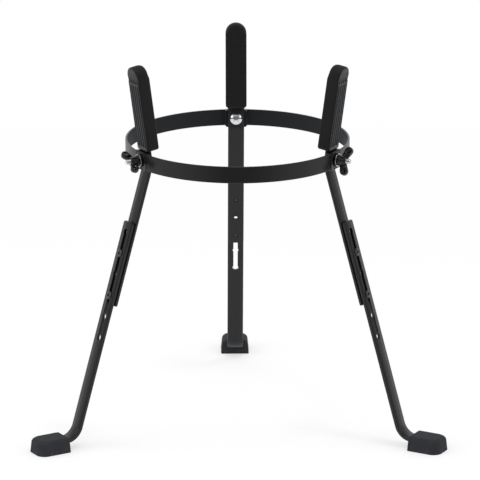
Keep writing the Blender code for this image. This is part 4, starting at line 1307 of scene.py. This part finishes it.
class CONGA_OT_feet(Step, Operator):
    """Make the rubber feet on the toes"""
    bl_idname = "conga.feet"
    bl_label = "Feet"

    def make(self, sizes, plan):
        mesh = self.foot(sizes, plan)
        for side in AZIMUTHS:
            add_piece(side + "_rubber_foot", mesh, plan.foot(side), side + "_lower_leg", "foot_rubber",
                      side + "_foot")

    def foot(self, sizes, plan):
        """A loft of outlines: each level draws the sole's outline in by the taper and, near the top, by
        R (1 - cos a) at a height R sin a; the top runs in to the middle line, and a line is pressed
        round it near the bar."""
        foot = sizes.foot
        collar = foot.collar + np.linspace(-1.8, 1.8, 13) * MM
        levels = np.unique(np.concatenate([np.arange(0.0, foot.length, 1.6 * MM), collar]))
        points, _, middle = rounded_outline(foot.width, 0.0, foot.length, foot.back_corner,
                                            foot.front_corner, levels)
        shoulder = foot.height - foot.top_round
        low, high = quarter(5), quarter(15)
        walls = np.linspace(foot.sole_edge, shoulder, 8)[1:-1]
        crown = shoulder + foot.top_round * np.sin(high)
        sole_edge = foot.sole_edge * (1 - np.sin(low))
        leaned = np.concatenate([0 * low, walls, crown]) * foot.taper / foot.height

        def drawn(depth):
            """How far the sole's edge and a rounding over the walls draw each level in."""
            return np.concatenate([sole_edge, 0 * walls, depth * (1 - np.cos(high))])

        heights = np.concatenate([foot.sole_edge * (1 - np.cos(low)), walls, crown])[:, None]
        front = (leaned + drawn(foot.top_round))[:, None]
        back = (leaned / 2 + drawn(foot.back_round))[:, None]
        x = back + points[:, 1] * (1 - (front + back) / foot.length)
        y = points[:, 0] * (1 - 2 * front / foot.width)
        wall = columns(x, y, heights)
        along = back[-1] + middle[:, 1] * (1 - (front[-1] + back[-1]) / foot.length)
        line, sole = columns(along, 0.0, foot.height), columns(middle[:, 1], 0.0, 0.0)
        over = wall[-1] + (line - wall[-1]) * shares(19)[:, None, None]
        under = wall[0] + (sole - wall[0]) * shares(5)[::-1, None, None]
        grid = np.concatenate([under, wall, over])
        pressed = foot.collar_depth * np.exp(-((grid[..., 0] - foot.collar) / (0.6 * MM)) ** 2)
        pressed = pressed * smoothstep(1.0 * MM, 4.0 * MM, grid[..., 2])
        grid[..., 1] *= 1 - pressed / (foot.width / 2)
        grid[..., 2] *= 1 - pressed / foot.height
        return cut(surface("rubber_foot", [(grid, True)]), [self.pocket(sizes, plan)])

    def pocket(self, sizes, plan):
        """The space of the lower bar's toe, with a gap round it."""
        corners = [plan.rail_point(plan.toe_corner / 2, plan.rail_offset),
                   plan.rail_point(plan.toe_corner, plan.rail_offset),
                   (plan.toe_end + GAP, sizes.rail.toe_height)]
        path = Path(corners, [sizes.rail.toe_bend])
        along = path.stations(0.0, path.marks[-1], 1.0, 2.0 * MM)[:, None]
        u, v = path.at(along, plan.face * np.array([-1, 1, 1, -1]))
        tube = columns(u - plan.foot_reach, plan.flank * np.array([1, 1, -1, -1]), v)
        ends = tube[[0, -1]].mean(axis=1, keepdims=True).repeat(4, axis=1)
        return surface("toe_pocket", [(np.concatenate([ends[:1], tube, ends[1:]]), True)])


class CONGA_OT_studio(Step, Operator):
    """Set up the floor, the lamps, the world and the camera"""
    bl_idname = "conga.studio"
    bl_label = "Studio"

    def make(self, sizes, plan):
        scene, studio = bpy.context.scene, sizes.studio
        self.floor(studio)
        self.world(scene, studio)
        self.lamps()
        self.camera(scene, studio)
        scene.view_settings.view_transform = "Standard"

    def rays(self, finish):
        """1 for the camera's rays, and 1 for those by which metal, gloss and glass see the studio."""
        seen = finish.maths("MAXIMUM", finish.ray("Glossy"), finish.ray("Transmission"))
        return finish.ray("Camera"), seen

    def floor(self, studio):
        """A disc on the ground whose glow makes up the rest of white, so that it keeps the shadow. Gloss
        sees it darken towards the front of the studio."""
        radii = np.linspace(0.0, studio.floor_radius, 24)
        mesh = turned("floor", columns(radii, 0.0), 96, whole=False)
        finish = Finish("pale_floor")
        camera, glossy = self.rays(finish)
        seen = finish.maths("MAXIMUM", camera, glossy)
        share = studio.floor_white + finish.ray("Diffuse") * (studio.floor_bounce - studio.floor_white)
        paint = finish.make("ShaderNodeBsdfDiffuse", {"Color": share})
        near = finish.make("ShaderNodeAddShader", {0: finish.glow(seen * studio.floor_glow), 1: paint})
        fade = ((finish.distance() - studio.fade_start) * (1 / studio.fade_length)).clipped()
        lit = finish.mix(fade, near, finish.glow(seen))
        middle = (0.0, -studio.dim_middle, 0.0)
        front = finish.rise(finish.distance(middle), studio.dim_outside, studio.dim_inside)
        finish.finished(finish.mix(front * glossy, lit, finish.glow(glossy * studio.front)))
        finish.material.cycles.emission_sampling = "NONE"
        mesh.materials.append(finish.material)
        placed("floor", mesh)

    def world(self, scene, studio):
        """White to the camera, darker towards the front in gloss, and a soft sky on the object."""
        world = bpy.data.worlds.new("studio")
        finish = Finish("studio", world)
        camera, glossy = self.rays(finish)
        ray = finish.make("ShaderNodeTexCoord", output="Generated")
        y = finish.make("ShaderNodeSeparateXYZ", {0: ray}, output=1)
        front = finish.rise(y, -0.4, -0.95, high=studio.side - studio.front)
        back = finish.rise(y, 0.45, 0.80, low=studio.side)
        strength = finish.maths("MAXIMUM", camera, glossy * (back - front))
        strength = strength + (1.0 - finish.maths("MAXIMUM", camera, glossy)) * studio.sky
        light = finish.glow(strength, "ShaderNodeBackground")
        finish.make("ShaderNodeOutputWorld", {"Surface": light})
        world.cycles.sampling_method = "NONE"
        scene.world = world

    def lamps(self):
        """A broad lamp and a small one overhead and a large weak panel to each side, all white."""
        self.lamp("overhead", (-0.5, -0.3, 2.4), (0.0, 0.0, 0.2), (2.0, 2.0), 4.2)
        self.lamp("glint", (0.3, -0.25, 2.3), (0.0, 0.0, 0.3), (0.2, 0.2), 5.0)
        self.lamp("left_panel", (-2.3, -0.5, 1.3), (0.0, 0.0, 0.3), (1.4, 1.4), 8.0)
        self.lamp("right_panel", (2.3, -0.5, 1.3), (0.0, 0.0, 0.3), (1.4, 1.4), 5.0)

    def lamp(self, name, at, towards, size, power):
        """A rectangular lamp that faces a point."""
        data = bpy.data.lights.new(name, "AREA")
        data.shape, data.size, data.size_y, data.energy = "RECTANGLE", *size, power
        made = placed(name, data)
        made.location = at
        made.rotation_euler = (Vector(at) - Vector(towards)).to_track_quat("Z", "Y").to_euler()

    def camera(self, scene, studio):
        """The camera of the picture, turned about the ring's axis by how far the stand is turned."""
        data = bpy.data.cameras.new("camera")
        data.sensor_width = 36.0
        data.lens = studio.lens
        scene.camera = placed("camera", data)
        place = move(studio.camera_side, -studio.camera_distance, studio.camera_height)
        pitch = spin(math.pi / 2 - studio.camera_pitch, "X")
        scene.camera.matrix_world = move(y=RING_Y) @ spin(-studio.stand_turn, "Z") @ place @ pitch


class CONGA_PT_panel(Panel):
    """The stand's panel in the sidebar"""
    bl_label = "Conga Stand"
    bl_idname = "CONGA_PT_panel"
    bl_space_type = "VIEW_3D"
    bl_region_type = "UI"
    bl_category = "Conga Stand"

    def draw(self, context):
        for step in STEPS:
            self.layout.operator(step.bl_idname)
        settings = context.scene.conga_stand
        for group in settings.bl_rna.properties:
            if group.type != "POINTER" or group.identifier == "rna_type":
                continue
            column = self.layout.box().column(align=True)
            column.label(text=group.identifier.capitalize())
            owner = getattr(settings, group.identifier)
            for item in owner.bl_rna.properties:
                if item.identifier not in ("rna_type", "name"):
                    column.prop(owner, item.identifier)


GROUPS = (RingSizes, BarSizes, ClampSizes, NutSizes, PadSizes, RailSizes, FootSizes, FinishColours,
          StudioSettings, StandSettings)
STEPS = (CONGA_OT_ring, CONGA_OT_bars, CONGA_OT_pads, CONGA_OT_clamps, CONGA_OT_nuts, CONGA_OT_screws,
         CONGA_OT_feet, CONGA_OT_studio)


def register():
    for made in (*GROUPS, *STEPS, CONGA_PT_panel):
        bpy.utils.register_class(made)
    bpy.types.Scene.conga_stand = PointerProperty(type=StandSettings)


def unregister():
    del bpy.types.Scene.conga_stand
    for made in reversed((*GROUPS, *STEPS, CONGA_PT_panel)):
        bpy.utils.unregister_class(made)


def main():
    register()
    for step in STEPS:
        group, name = step.bl_idname.split(".")
        getattr(getattr(bpy.ops, group), name)()


if __name__ == "__main__":
    main()
